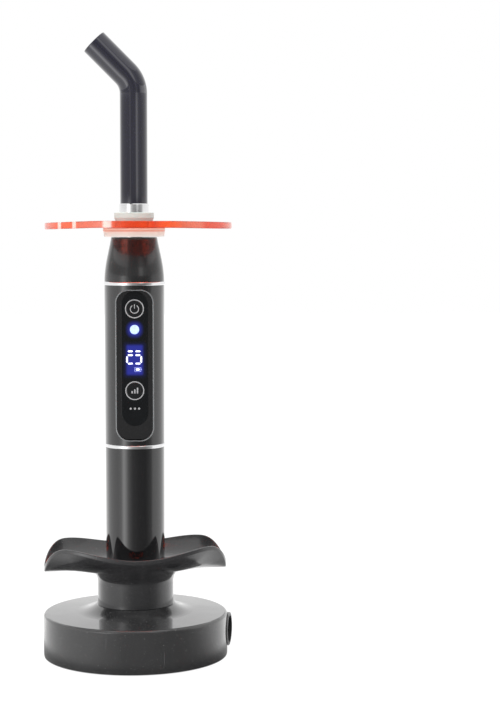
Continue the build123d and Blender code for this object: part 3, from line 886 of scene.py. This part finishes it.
def plate(outlines: Iterable[Sequence[Point]], front: float, back: float) -> bmesh.types.BMesh:
    """Flat marks that face -Y, each with its thickness.

    Args:
        outlines: Closed outlines of (x, z) in millimetres.
        front: Y of the front face in millimetres.
        back: Y of the back face in millimetres.

    Returns:
        The mesh.
    """
    mesh = bmesh.new()
    for outline in outlines:
        front_ring = [mesh.verts.new((x * MM, front * MM, z * MM)) for x, z in outline]
        back_ring = [mesh.verts.new((x * MM, back * MM, z * MM)) for x, z in outline]
        mesh.faces.new(front_ring)
        mesh.faces.new(back_ring[::-1])
        count = len(outline)
        for i in range(count):
            j = (i + 1) % count
            mesh.faces.new((front_ring[i], back_ring[i], back_ring[j], front_ring[j]))
    return mesh


def arc_band(
    centre: Point,
    inner: float,
    outer: float,
    start: float,
    end: float,
    front: float,
    back: float,
    steps: int = 64,
) -> bmesh.types.BMesh:
    """Part of a flat ring that faces -Y, with round shoulders.

    Args:
        centre: (x, z) of its centre in millimetres.
        inner: Inner radius in millimetres.
        outer: Outer radius in millimetres.
        start: Angle in degrees where it starts, from +X towards +Z.
        end: Angle where it ends; a turn of 360 closes it.
        front: Y of the front face in millimetres.
        back: Y of the back face in millimetres.
        steps: Divisions along the arc.

    Returns:
        The mesh.
    """
    closed = abs(end - start) >= 360.0
    shoulder = (outer - inner) * SHOULDER_SHARE
    section = [
        (inner, back), (inner, front + shoulder / 2), (inner + shoulder, front),
        (outer - shoulder, front), (outer, front + shoulder / 2), (outer, back),
    ]
    mesh = bmesh.new()
    rings = []
    count = steps if closed else steps + 1
    for i in range(count):
        angle = math.radians(start + (end - start) * i / steps)
        ring = []
        for radius, y in section:
            x = centre[0] + radius * math.cos(angle)
            z = centre[1] + radius * math.sin(angle)
            ring.append(mesh.verts.new((x * MM, y * MM, z * MM)))
        rings.append(ring)
    size = len(section)
    for i in range(count if closed else count - 1):
        here, there = rings[i], rings[(i + 1) % count]
        for k in range(size):
            m = (k + 1) % size
            mesh.faces.new((here[k], here[m], there[m], there[k]))
    if not closed:
        mesh.faces.new(rings[0])
        mesh.faces.new(rings[-1][::-1])
    return mesh


def bead(path: Sequence[Vector], radius: float, sides: int = 8) -> bmesh.types.BMesh:
    """Closed round bead along a path about the Z axis.

    Args:
        path: Points of its centre line, in millimetres.
        radius: Its radius in millimetres.
        sides: Faces round its section.

    Returns:
        The mesh.
    """
    mesh = bmesh.new()
    count = len(path)
    rings = []
    for i, point in enumerate(path):
        along = (path[(i + 1) % count] - path[i - 1]).normalized()
        outward = Vector((point.x, point.y, 0.0)).normalized()
        across = along.cross(outward).normalized()
        outward = across.cross(along)
        ring = []
        for k in range(sides):
            turn = 2.0 * math.pi * k / sides
            place = point + (outward * math.cos(turn) + across * math.sin(turn)) * radius
            ring.append(mesh.verts.new(place * MM))
        rings.append(ring)
    for i, here in enumerate(rings):
        there = rings[(i + 1) % count]
        for k in range(sides):
            m = (k + 1) % sides
            mesh.faces.new((here[k], here[m], there[m], there[k]))
    return mesh


def rounded_bar(
    centre: Point, width: float, height: float, radius: float, steps: int = 6
) -> list[Point]:
    """Outline of a rounded rectangle.

    Args:
        centre: (x, z) of its middle in millimetres.
        width: Its size along X.
        height: Its size along Z.
        radius: Radius of its corners.
        steps: Divisions of each corner.

    Returns:
        Points of (x, z) in millimetres.
    """
    corners = []
    for turn, (sx, sz) in enumerate(((1, 1), (-1, 1), (-1, -1), (1, -1))):
        cx = centre[0] + sx * (width / 2 - radius)
        cz = centre[1] + sz * (height / 2 - radius)
        for i in range(steps + 1):
            angle = math.radians(90.0 * turn + 90.0 * i / steps)
            corners.append((cx + radius * math.cos(angle), cz + radius * math.sin(angle)))
    return corners


def slanted_bar(centre: Point, length: float, thickness: float, upright: bool) -> list[Point]:
    """Outline of one segment of a number display, pointed at both ends.

    Args:
        centre: (x, z) of its middle in millimetres.
        length: From point to point.
        thickness: Across it.
        upright: Whether it stands instead of lying.

    Returns:
        Points of (x, z) in millimetres.
    """
    half = length / 2
    tip = thickness / 2
    flat = [
        (-half, 0.0), (-half + tip, tip), (half - tip, tip),
        (half, 0.0), (half - tip, -tip), (-half + tip, -tip),
    ]
    if upright:
        flat = [(z, x) for x, z in flat]
    return [(centre[0] + x, centre[1] + z) for x, z in flat]


# Sub-assemblies


@dataclass
class Part:
    """Something that dresses some of the frame's nodes and may add pieces of its own."""

    frame: dict[str, Any]

    def dress(self, finish: Finish, *nodes: str) -> None:
        """Give CAD nodes a finish.

        Args:
            finish: The finish.
            nodes: Names of the nodes.
        """
        for node in nodes:
            piece = self.frame["nodes"][node]
            piece.data.materials.clear()
            piece.data.materials.append(finish.material())
            log.info("node %s: %s", node, finish.name)

    def place(
        self, piece: bpy.types.Object, finish: Finish, body: Body, slot: str
    ) -> bpy.types.Object:
        """Dress a new piece and let it ride on a body.

        Args:
            piece: The new object, in place.
            finish: Its finish.
            body: The body that carries it.
            slot: The record's material slot; not used.

        Returns:
            The object.
        """
        piece.data.materials.append(finish.material())
        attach(piece, body.value)
        log.info("piece %s: %s on %s", piece.name, finish.name, body.value)
        return piece


@dataclass
class ChargingStand(Part):
    """Round base, tower with its tray, charging inlet and contacts."""

    base_grey: Colour = (0.022, 0.022, 0.0225)
    tower_grey: Colour = (0.018, 0.018, 0.019)
    inlet_grey: Colour = (0.02, 0.02, 0.021)
    plate_grey: Colour = (0.025, 0.025, 0.025)

    def build(self) -> None:
        """Dress the stand's nodes."""
        base = PianoBlack("base_gloss", self.base_grey, 0.18, 0.9, 0.08, dust=0.6, scratches=1.0)
        tower = PianoBlack("cradle_gloss", self.tower_grey, 0.18, 0.9, 0.06, dust=0.4)
        screw = Metal("screw_steel", (0.55, 0.55, 0.56), 0.25, 0.15)
        iron = Metal("ballast_iron", (0.22, 0.21, 0.2), 0.45, 0.2, 0.5)
        self.dress(base, "base_shell")
        self.dress(tower, "cradle")
        self.dress(SatinPlastic("bezel_satin", self.inlet_grey, 0.35), "jack_bezel")
        self.dress(FoamRubber("foot_foam"), "foot_pad")
        self.dress(SatinPlastic("plate_satin", self.plate_grey, 0.5), "base_plate")
        self.dress(screw, "base_screws")
        self.dress(iron, "ballast")
        self.dress(CIRCUIT_BOARD, "charger_board", "pin_board")
        self.dress(INNER_PLASTIC, "dc_jack", "cradle_nut", "charge_well")
        self.dress(CONTACT_BRASS, "dc_pin", "pin_barrels", "centre_pin", "outer_pin")


@dataclass
class HandpieceBody(Part):
    """Nose, handle and battery tube with everything inside them."""

    nose_grey: Colour = (0.006, 0.006, 0.0065)

    def build(self) -> None:
        """Dress the handpiece's nodes."""
        chrome = Metal("ring_chrome", (0.86, 0.86, 0.87), 0.05, 0.03)
        spring = Metal("spring_steel", (0.6, 0.6, 0.6), 0.25, 0.15)
        screw = Metal("board_screw_steel", (0.55, 0.55, 0.56), 0.25, 0.15)
        aluminium = Metal("sink_aluminium", (0.78, 0.79, 0.8), 0.3, 0.25)
        silver = Metal("reflector_silver", (0.93, 0.93, 0.94), 0.04, 0.01)
        self.dress(PianoBlack("handle_gloss"), "handle_housing", "battery_housing", "end_cap")
        self.dress(PianoBlack("nose_gloss", self.nose_grey, 0.2, 0.55), "nose_housing")
        self.dress(chrome, "lower_trim_ring", "upper_trim_ring")
        self.dress(CONTACT_BRASS, "centre_contact", "ring_contact")
        self.dress(spring, "battery_contact_bottom", "battery_contact_top", "snap_ring")
        self.dress(screw, "board_screws")
        self.dress(PrintedWrap("cell_wrap"), "battery_cell")
        self.dress(INNER_PLASTIC, "joint_plug", "guide_socket")
        self.dress(INNER_PLASTIC, "tact_switches", "beeper", "board_chips")
        self.dress(CIRCUIT_BOARD, "main_board")
        self.dress(aluminium, "heat_sink", "led_board")
        self.dress(silver, "reflector")
        self.dress(PanelMark("led_phosphor", (0.9, 0.85, 0.6)), "led_emitter", "indicator_led")


@dataclass
class ControlPanel(Part):
    """Smoked lens with two buttons, the indicator and the display. Millimetres."""

    lens_face: float = -10.3
    button_face: float = -10.45
    mark_height: float = 0.04
    power_z: float = 152.05
    mode_z: float = 117.0
    indicator_z: float = 143.2
    display_z: float = 130.2
    indicator_half: Point = (0.5, 0.5)
    display_half: Point = (3.45, 6.2)
    bright_half: Point = (2.7, 5.6)
    ring_inner: float = 3.6
    ring_outer: float = 4.03
    ring_steps: int = 96
    icon_radius: float = 1.75
    icon_stroke: float = 0.36
    icon_drop: float = 0.1
    icon_open: Point = (122.0, 418.0)
    power_bar_rise: float = 1.05
    power_bar_length: float = 1.9
    bar_round: float = 0.9
    step_heights: tuple[float, ...] = (1.1, 1.8, 2.5)
    step_pitch: float = 1.15
    step_width: float = 0.62
    step_drop: float = 1.2
    step_round: float = 0.18
    segment: float = 2.3
    segment_width: float = 0.72
    digit_columns: Point = (-1.85, 1.4)
    digit_rows: tuple[float, ...] = (3.7, 2.05, -1.55)
    upright_out: float = 1.4
    upright_rise: float = 0.2
    upright_extra: float = 0.6
    battery_x: float = 1.3
    battery_drop: float = 4.1
    battery_size: Point = (2.6, 1.7)
    battery_stroke: float = 0.2
    battery_round: float = 0.08
    battery_knob: Point = (0.24, 0.7)
    battery_knob_out: float = 0.3
    charge_share: Point = (0.62, 0.5)
    charge_round: float = 0.3
    dot_places: tuple[float, ...] = (-1.8, 0.0, 1.8)
    dot_z: float = 109.3
    dot_size: float = 0.9
    dot_round: float = 0.44
    recess_width: float = 15.9
    recess_bottom: float = 95.6
    recess_top: float = 160.1
    recess_round: float = 5.5
    recess_steps: int = 14
    taper_bottom: float = 12.0
    taper_top: float = 161.9
    bottom_radius: float = 12.65
    top_radius: float = 12.95
    bead_radius: float = 0.26
    glow: Colour = (0.02, 0.026, 0.3)
    # Painted glow: the printed rings, icons and dots shine dimly by themselves.
    ink: PanelMark = PanelMark("panel_ink_painted_glow", (0.26, 0.26, 0.265), Lit.DIM)
    light: PanelMark = PanelMark("display_light", (0.82, 0.86, 1.0), Lit.BRIGHT)
    dim_light: PanelMark = PanelMark("display_dim", (0.3, 0.34, 0.8), Lit.DIM)
    indicator: PanelMark = PanelMark("indicator_glow", (0.34, 0.44, 0.78), Lit.BRIGHT)
    button: PianoBlack = PianoBlack("button_gloss", (0.0025, 0.003, 0.0035), 0.1, 0.3, dust=0.1)
    # Painted highlight: light grey on the bead along the recess's edge.
    painted_highlight_finish: PianoBlack = PianoBlack("edge_painted_highlight", (0.13, 0.135, 0.14), 0.12)

    def build(self) -> None:
        """Dress the lens and the buttons, then add the marks."""
        halos = (
            Halo(self.indicator_z, *self.indicator_half, 3.8, self.glow, 1.5),
            Halo(self.display_z, *self.display_half, 2.2, self.glow, 0.12),
            Halo(self.display_z, *self.bright_half, 1.5, self.glow, 1.0),
        )
        self.dress(PanelGloss("panel_gloss", halos=halos), "panel_lens")
        self.dress(self.button, "power_button", "mode_button")
        self.dress(self.indicator, "indicator_light")
        self.dress(PanelMark("display_body", (0.02, 0.02, 0.2)), "display_module")
        self._rings()
        self._power_icon()
        self._mode_icon()
        self._digits()
        self._battery_icon()
        self._dots()
        self._recess_edge()

    def _on_lens(self) -> tuple[float, float]:
        """Front and back Y of a mark on the lens."""
        return self.lens_face - self.mark_height, self.lens_face + self.mark_height

    def _on_button(self) -> tuple[float, float]:
        """Front and back Y of a mark on a button."""
        return self.button_face - self.mark_height, self.button_face + self.mark_height

    def _lens_marks(
        self, name: str, outlines: Iterable[Sequence[Point]], ink: PanelMark, slot: str
    ) -> None:
        """Flat marks on the lens.

        Args:
            name: Name of the piece.
            outlines: Closed outlines of (x, z) in millimetres.
            ink: Their finish.
            slot: The record's material slot.
        """
        self.place(new_piece(name, plate(outlines, *self._on_lens())), ink, Body.HANDPIECE, slot)

    def _button_mark(self, name: str, mesh: bmesh.types.BMesh, body: Body) -> None:
        """Mark that moves with a button.

        Args:
            name: Name of the piece.
            mesh: Its mesh.
            body: The button.
        """
        self.place(new_piece(name, mesh), self.ink, body, f"{body.value}_black")

    def _rings(self) -> None:
        """Thin ring round each button."""
        face = self._on_lens()
        size = (self.ring_inner, self.ring_outer)
        for name, z in (("power_ring", self.power_z), ("mode_ring", self.mode_z)):
            mesh = arc_band((0.0, z), *size, 0.0, 360.0, *face, steps=self.ring_steps)
            self.place(new_piece(name, mesh), self.ink, Body.HANDPIECE, "panel_black")

    def _power_icon(self) -> None:
        """Open ring and bar of the power symbol."""
        half = self.icon_stroke / 2
        face = self._on_button()
        centre = (0.0, self.power_z - self.icon_drop)
        inner, outer = self.icon_radius - half, self.icon_radius + half
        arc = arc_band(centre, inner, outer, *self.icon_open, *face)
        self._button_mark("power_icon_arc", arc, Body.POWER_BUTTON)
        middle = (0.0, self.power_z + self.power_bar_rise)
        bar = rounded_bar(middle, self.icon_stroke, self.power_bar_length, half * self.bar_round)
        self._button_mark("power_icon_bar", plate([bar], *face), Body.POWER_BUTTON)

    def _mode_icon(self) -> None:
        """Three bars that step up, as a plain sign for the light's modes."""
        foot = self.mode_z - self.step_drop
        bars = []
        for i, height in enumerate(self.step_heights):
            middle = ((i - 1) * self.step_pitch, foot + height / 2)
            bars.append(rounded_bar(middle, self.step_width, height, self.step_round))
        self._button_mark("mode_icon", plate(bars, *self._on_button()), Body.MODE_BUTTON)

    def _digits(self) -> None:
        """The number 10 in segments, reading downwards."""
        left, right = self.digit_columns
        bars = [
            slanted_bar((x, self.display_z + z), self.segment, self.segment_width, False)
            for z in self.digit_rows
            for x in self.digit_columns
        ]
        for x in (left - self.upright_out, right + self.upright_out):
            middle = (x, self.display_z + self.upright_rise)
            length = self.segment + self.upright_extra
            bars.append(slanted_bar(middle, length, self.segment_width, True))
        self._lens_marks("display_digits", bars, self.light, "display_blue")

    def _battery_icon(self) -> None:
        """Small battery symbol under the number."""
        x, z = self.battery_x, self.display_z - self.battery_drop
        width, height = self.battery_size
        stroke = self.battery_stroke
        bars = [
            ((x, z + height / 2), width, stroke),
            ((x, z - height / 2), width, stroke),
            ((x - width / 2, z), stroke, height + stroke),
            ((x + width / 2, z), stroke, height + stroke),
            ((x + width / 2 + self.battery_knob_out, z), *self.battery_knob),
        ]
        outlines = [rounded_bar(*bar, self.battery_round) for bar in bars]
        self._lens_marks("battery_icon_frame", outlines, self.dim_light, "display_blue")
        wide, high = self.charge_share
        charge = rounded_bar((x, z), width * wide, height * high, self.charge_round)
        self._lens_marks("battery_icon_charge", [charge], self.light, "display_blue")

    def _dots(self) -> None:
        """Three small printed dots under the lower button."""
        size = self.dot_size
        dots = [rounded_bar((x, self.dot_z), size, size, self.dot_round) for x in self.dot_places]
        self._lens_marks("panel_dots", dots, self.ink, "panel_black")

    def _recess_edge(self) -> None:
        """Polished bead along the edge where the panel's recess meets the round housing, light grey
        as a painted highlight.
        """
        centre = (0.0, (self.recess_bottom + self.recess_top) / 2)
        height = self.recess_top - self.recess_bottom
        outline = rounded_bar(
            centre, self.recess_width, height, self.recess_round, self.recess_steps
        )
        path = []
        for x, z in outline:
            share = (z - self.taper_bottom) / (self.taper_top - self.taper_bottom)
            radius = self.bottom_radius + (self.top_radius - self.bottom_radius) * share
            path.append(Vector((x, -math.sqrt(radius * radius - x * x), z)))
        edge = new_piece("recess_edge", bead(path, self.bead_radius))
        self.place(edge, self.painted_highlight_finish, Body.HANDPIECE, "panel_black")


@dataclass
class LightGuide(Part):
    """Bent light guide in its steel ferrule."""

    jacket: Colour = (0.0035, 0.0032, 0.012)
    chrome: Colour = (0.85, 0.85, 0.85)
    seal: Colour = (0.01, 0.01, 0.01)

    def build(self) -> None:
        """Dress the guide's nodes."""
        self.dress(PianoBlack("guide_gloss", self.jacket, 0.06), "guide_sleeve")
        self.dress(FibreGlass("guide_fibre"), "guide_core")
        self.dress(Metal("ferrule_chrome", self.chrome, 0.08, 0.05), "guide_ferrule")
        self.dress(SatinPlastic("seal_rubber", self.seal, 0.5), "guide_o_ring")


@dataclass
class Shield(Part):
    """Orange disc in its silicone grommet."""

    def build(self) -> None:
        """Dress the shield's nodes."""
        self.dress(FilterAcrylic("shield_acrylic"), "shield_disc")
        self.dress(Silicone("grommet_silicone"), "shield_grommet", "grommet_washer")


@dataclass(frozen=True)
class SoftBox:
    """Area light that faces the object and doesn't show in gloss. Metres and watts."""

    name: str
    place: tuple[float, float, float]
    size: Point
    power: float

    def build(self, aim: Vector) -> None:
        """Make the light.

        Args:
            aim: The place that it faces.
        """
        data = bpy.data.lights.new(self.name, "AREA")
        data.shape = "RECTANGLE"
        data.size, data.size_y = self.size
        data.energy = self.power
        light = bpy.data.objects.new(self.name, data)
        light.location = self.place
        towards = aim - Vector(self.place)
        light.rotation_euler = towards.to_track_quat("-Z", "Y").to_euler()
        light.visible_camera = False
        light.visible_glossy = False
        bpy.context.scene.collection.objects.link(light)


@dataclass
class Studio:
    """Camera, floor, world, lights and a screen that only reflections see.

    The screen's rows are (radius, height) in metres. Its grades are (bearing in degrees,
    brightness), and the reaches and bands between them are in millimetres.
    """

    camera_place: tuple[float, float, float] = (0.0, -0.782, 0.188)
    camera_pitch: float = 0.07134
    camera_yaw: float = 0.06391
    camera_clip: Point = (0.01, 50.0)
    lens_mm: float = 92.01
    sensor_mm: float = 36.0
    fill: float = 0.6
    floor_half: float = 3.0
    floor_paper: Colour = (0.8, 0.8, 0.8)
    floor_white: float = 1.1
    shadow_share: float = 0.16
    shadow_reach: Point = (60.0, 260.0)
    aim: tuple[float, float, float] = (0.0, 0.0, 0.13)
    boxes: tuple[SoftBox, ...] = (
        SoftBox("key_left", (-0.9, -0.8, 0.6), (0.7, 0.9), 12.0),
        SoftBox("key_right", (1.0, -0.6, 0.5), (0.7, 0.9), 6.0),
        SoftBox("top", (0.0, 0.0, 1.4), (1.2, 1.2), 16.0),
    )
    screen_rows: tuple[Point, ...] = ((0.0405, 0.0005), (0.42, 0.0005), (0.42, 0.6))
    screen_steps: int = 100
    screen_strength: float = 4.0
    # Painted shade: the screen's floor sheet darkens close round the base.
    foot_painted_shade: float = 0.3
    foot_shade_reach: Point = (44.0, 62.0)
    near_reach: Point = (170.0, 260.0)
    guide_band: Point = (198.0, 208.0)
    nose_band: Point = (270.0, 282.0)
    nose_end: Point = (350.0, 365.0)
    screen_near: tuple[Point, ...] = (
        (-125, 1.0), (-90, 0.9), (-60, 0.84), (-42, 0.78), (-31, 0.58), (-20, 0.42), (-10, 0.26),
        (9, 0.24), (40, 0.16), (52, 0.24), (62, 0.35), (75, 0.65), (88, 0.95), (102, 1.05),
        (125, 1.2),
    )
    screen_low: tuple[Point, ...] = (
        (-125, 1.0), (-70, 1.0), (-56, 1.25), (-44, 2.5), (-36, 1.9), (-27, 0.95), (-18, 0.55),
        (-8, 0.32), (15, 0.2), (40, 0.18), (50, 0.27), (64, 0.45), (72, 0.95), (82, 1.0),
        (125, 1.0),
    )
    screen_guide: tuple[Point, ...] = (
        (-125, 0.7), (-90, 0.55), (-50, 0.5), (-36, 0.5), (-29, 0.85), (-23, 0.45), (14, 0.48),
        (20, 1.2), (28, 1.5), (34, 0.9), (42, 0.6), (60, 0.5), (80, 0.62), (125, 1.0),
    )
    screen_nose: tuple[Point, ...] = (
        (-125, 1.5), (-60, 1.3), (-33, 1.1), (-27, 0.95), (-21, 0.55), (-14, 0.4), (0, 0.34),
        (16, 0.4), (26, 0.6), (36, 0.42), (48, 0.32), (56, 0.6), (66, 1.1), (76, 1.3),
        (125, 1.5),
    )

    def build(self) -> None:
        """Make everything that isn't part of the object."""
        self._camera()
        self._world()
        self._floor()
        self._screen()
        for box in self.boxes:
            box.build(Vector(self.aim))
        bpy.context.scene.view_settings.view_transform = "Standard"

    def _camera(self) -> None:
        """Camera at the photograph's place, sharp everywhere."""
        data = bpy.data.cameras.new("camera")
        data.lens = self.lens_mm
        data.sensor_width = self.sensor_mm
        data.clip_start, data.clip_end = self.camera_clip
        camera = bpy.data.objects.new("camera", data)
        camera.location = self.camera_place
        camera.rotation_euler = (math.pi / 2 - self.camera_pitch, 0.0, -self.camera_yaw)
        bpy.context.scene.collection.objects.link(camera)
        bpy.context.scene.camera = camera

    def _world(self) -> None:
        """White for the camera and in reflections, a plain fill for everything else."""
        world = bpy.data.worlds.new("surround")
        bpy.context.scene.world = world
        tree = Tree(world, "ShaderNodeOutputWorld")
        fill = tree.add("ShaderNodeBackground", None, {"Color": WHITE, "Strength": self.fill})
        white = tree.add("ShaderNodeBackground", None, {"Color": WHITE, "Strength": 1.0})
        tree.blend(tree.seen(), fill, white)

    def _floor(self) -> None:
        """Pale floor that keeps the object's shadow."""
        mesh = bmesh.new()
        half = self.floor_half
        corners = ((-half, -half), (half, -half), (half, half), (-half, half))
        mesh.faces.new([mesh.verts.new((x, y, 0.0)) for x, y in corners])
        floor = new_piece("floor", mesh, smooth=False)
        material = bpy.data.materials.new("floor_paper")
        tree = Tree(material)
        x, y, _ = tree.axes()
        away = (x * x + y * y).root().fade(*self.shadow_reach)
        cover = away * self.shadow_share + (1.0 - self.shadow_share)
        paper = tree.add("ShaderNodeBsdfDiffuse", None, {"Color": self.floor_paper})
        shine = {"Color": WHITE, "Strength": self.floor_white}
        white = tree.add("ShaderNodeEmission", None, shine)
        tree.blend(tree.seen() * cover, paper, white)
        floor.data.materials.append(material)

    def _screen(self) -> None:
        """Wall and floor sheet round the camera's side."""
        start = math.radians(self.screen_low[0][0])
        end = math.radians(self.screen_low[-1][0])
        mesh = bmesh.new()
        columns = []
        for i in range(self.screen_steps + 1):
            angle = start + (end - start) * i / self.screen_steps
            sine, cosine = math.sin(angle), math.cos(angle)
            rows = [(radius * sine, -radius * cosine, z) for radius, z in self.screen_rows]
            columns.append([mesh.verts.new(row) for row in rows])
        for here, there in zip(columns, columns[1:]):
            for k in range(len(self.screen_rows) - 1):
                mesh.faces.new((here[k], there[k], there[k + 1], here[k + 1]))
        piece = new_piece("screen", mesh, smooth=False)
        piece.data.materials.append(self._screen_cloth())
        piece.visible_camera = False
        piece.visible_diffuse = False
        piece.visible_transmission = False
        piece.visible_shadow = False

    def _screen_cloth(self) -> bpy.types.Material:
        """Shining cloth whose brightness changes with the bearing and the height, with painted
        shade close round the base's foot.

        Returns:
            The material.
        """
        material = bpy.data.materials.new("screen_cloth")
        tree = Tree(material)
        x, y, z = tree.axes()
        out = (x * x + y * y).root()
        # Painted shade close round the base, seen in reflections.
        foot = out.fade(*self.foot_shade_reach) * (1.0 - self.foot_painted_shade) + self.foot_painted_shade
        near = tree.mix(foot, BLACK, self._grades(tree, self.screen_near))
        low = tree.mix(out.fade(*self.near_reach), near, self._grades(tree, self.screen_low))
        guide = self._grades(tree, self.screen_guide)
        above = tree.mix(z.fade(*self.guide_band), low, guide)
        nose = z.fade(*self.nose_band) * (1.0 - z.fade(*self.nose_end))
        grade = tree.mix(nose, above, self._grades(tree, self.screen_nose))
        shine = {"Color": grade, "Strength": self.screen_strength}
        tree.show(tree.add("ShaderNodeEmission", None, shine))
        return material

    def _grades(self, tree: Tree, stops: Sequence[Point]) -> bpy.types.NodeSocket:
        """Grey at each bearing, from -Y towards +X, as a share of the screen's strength.

        Args:
            tree: The screen's tree.
            stops: Bearings in degrees, each with its brightness.

        Returns:
            The grey.
        """
        x, y, _ = tree.axes()
        greys = [(place, scaled(WHITE, bright / self.screen_strength)) for place, bright in stops]
        return tree.ramp(x.bearing(y * -1.0), stops[0][0], stops[-1][0], greys)


def main() -> None:
    """Load the frame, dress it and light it."""
    logging.basicConfig(level=logging.INFO, format="%(message)s")
    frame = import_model()
    Studio().build()
    for part in (ChargingStand, HandpieceBody, ControlPanel, LightGuide, Shield):
        part(frame).build()


if __name__ == "__main__":
    main()
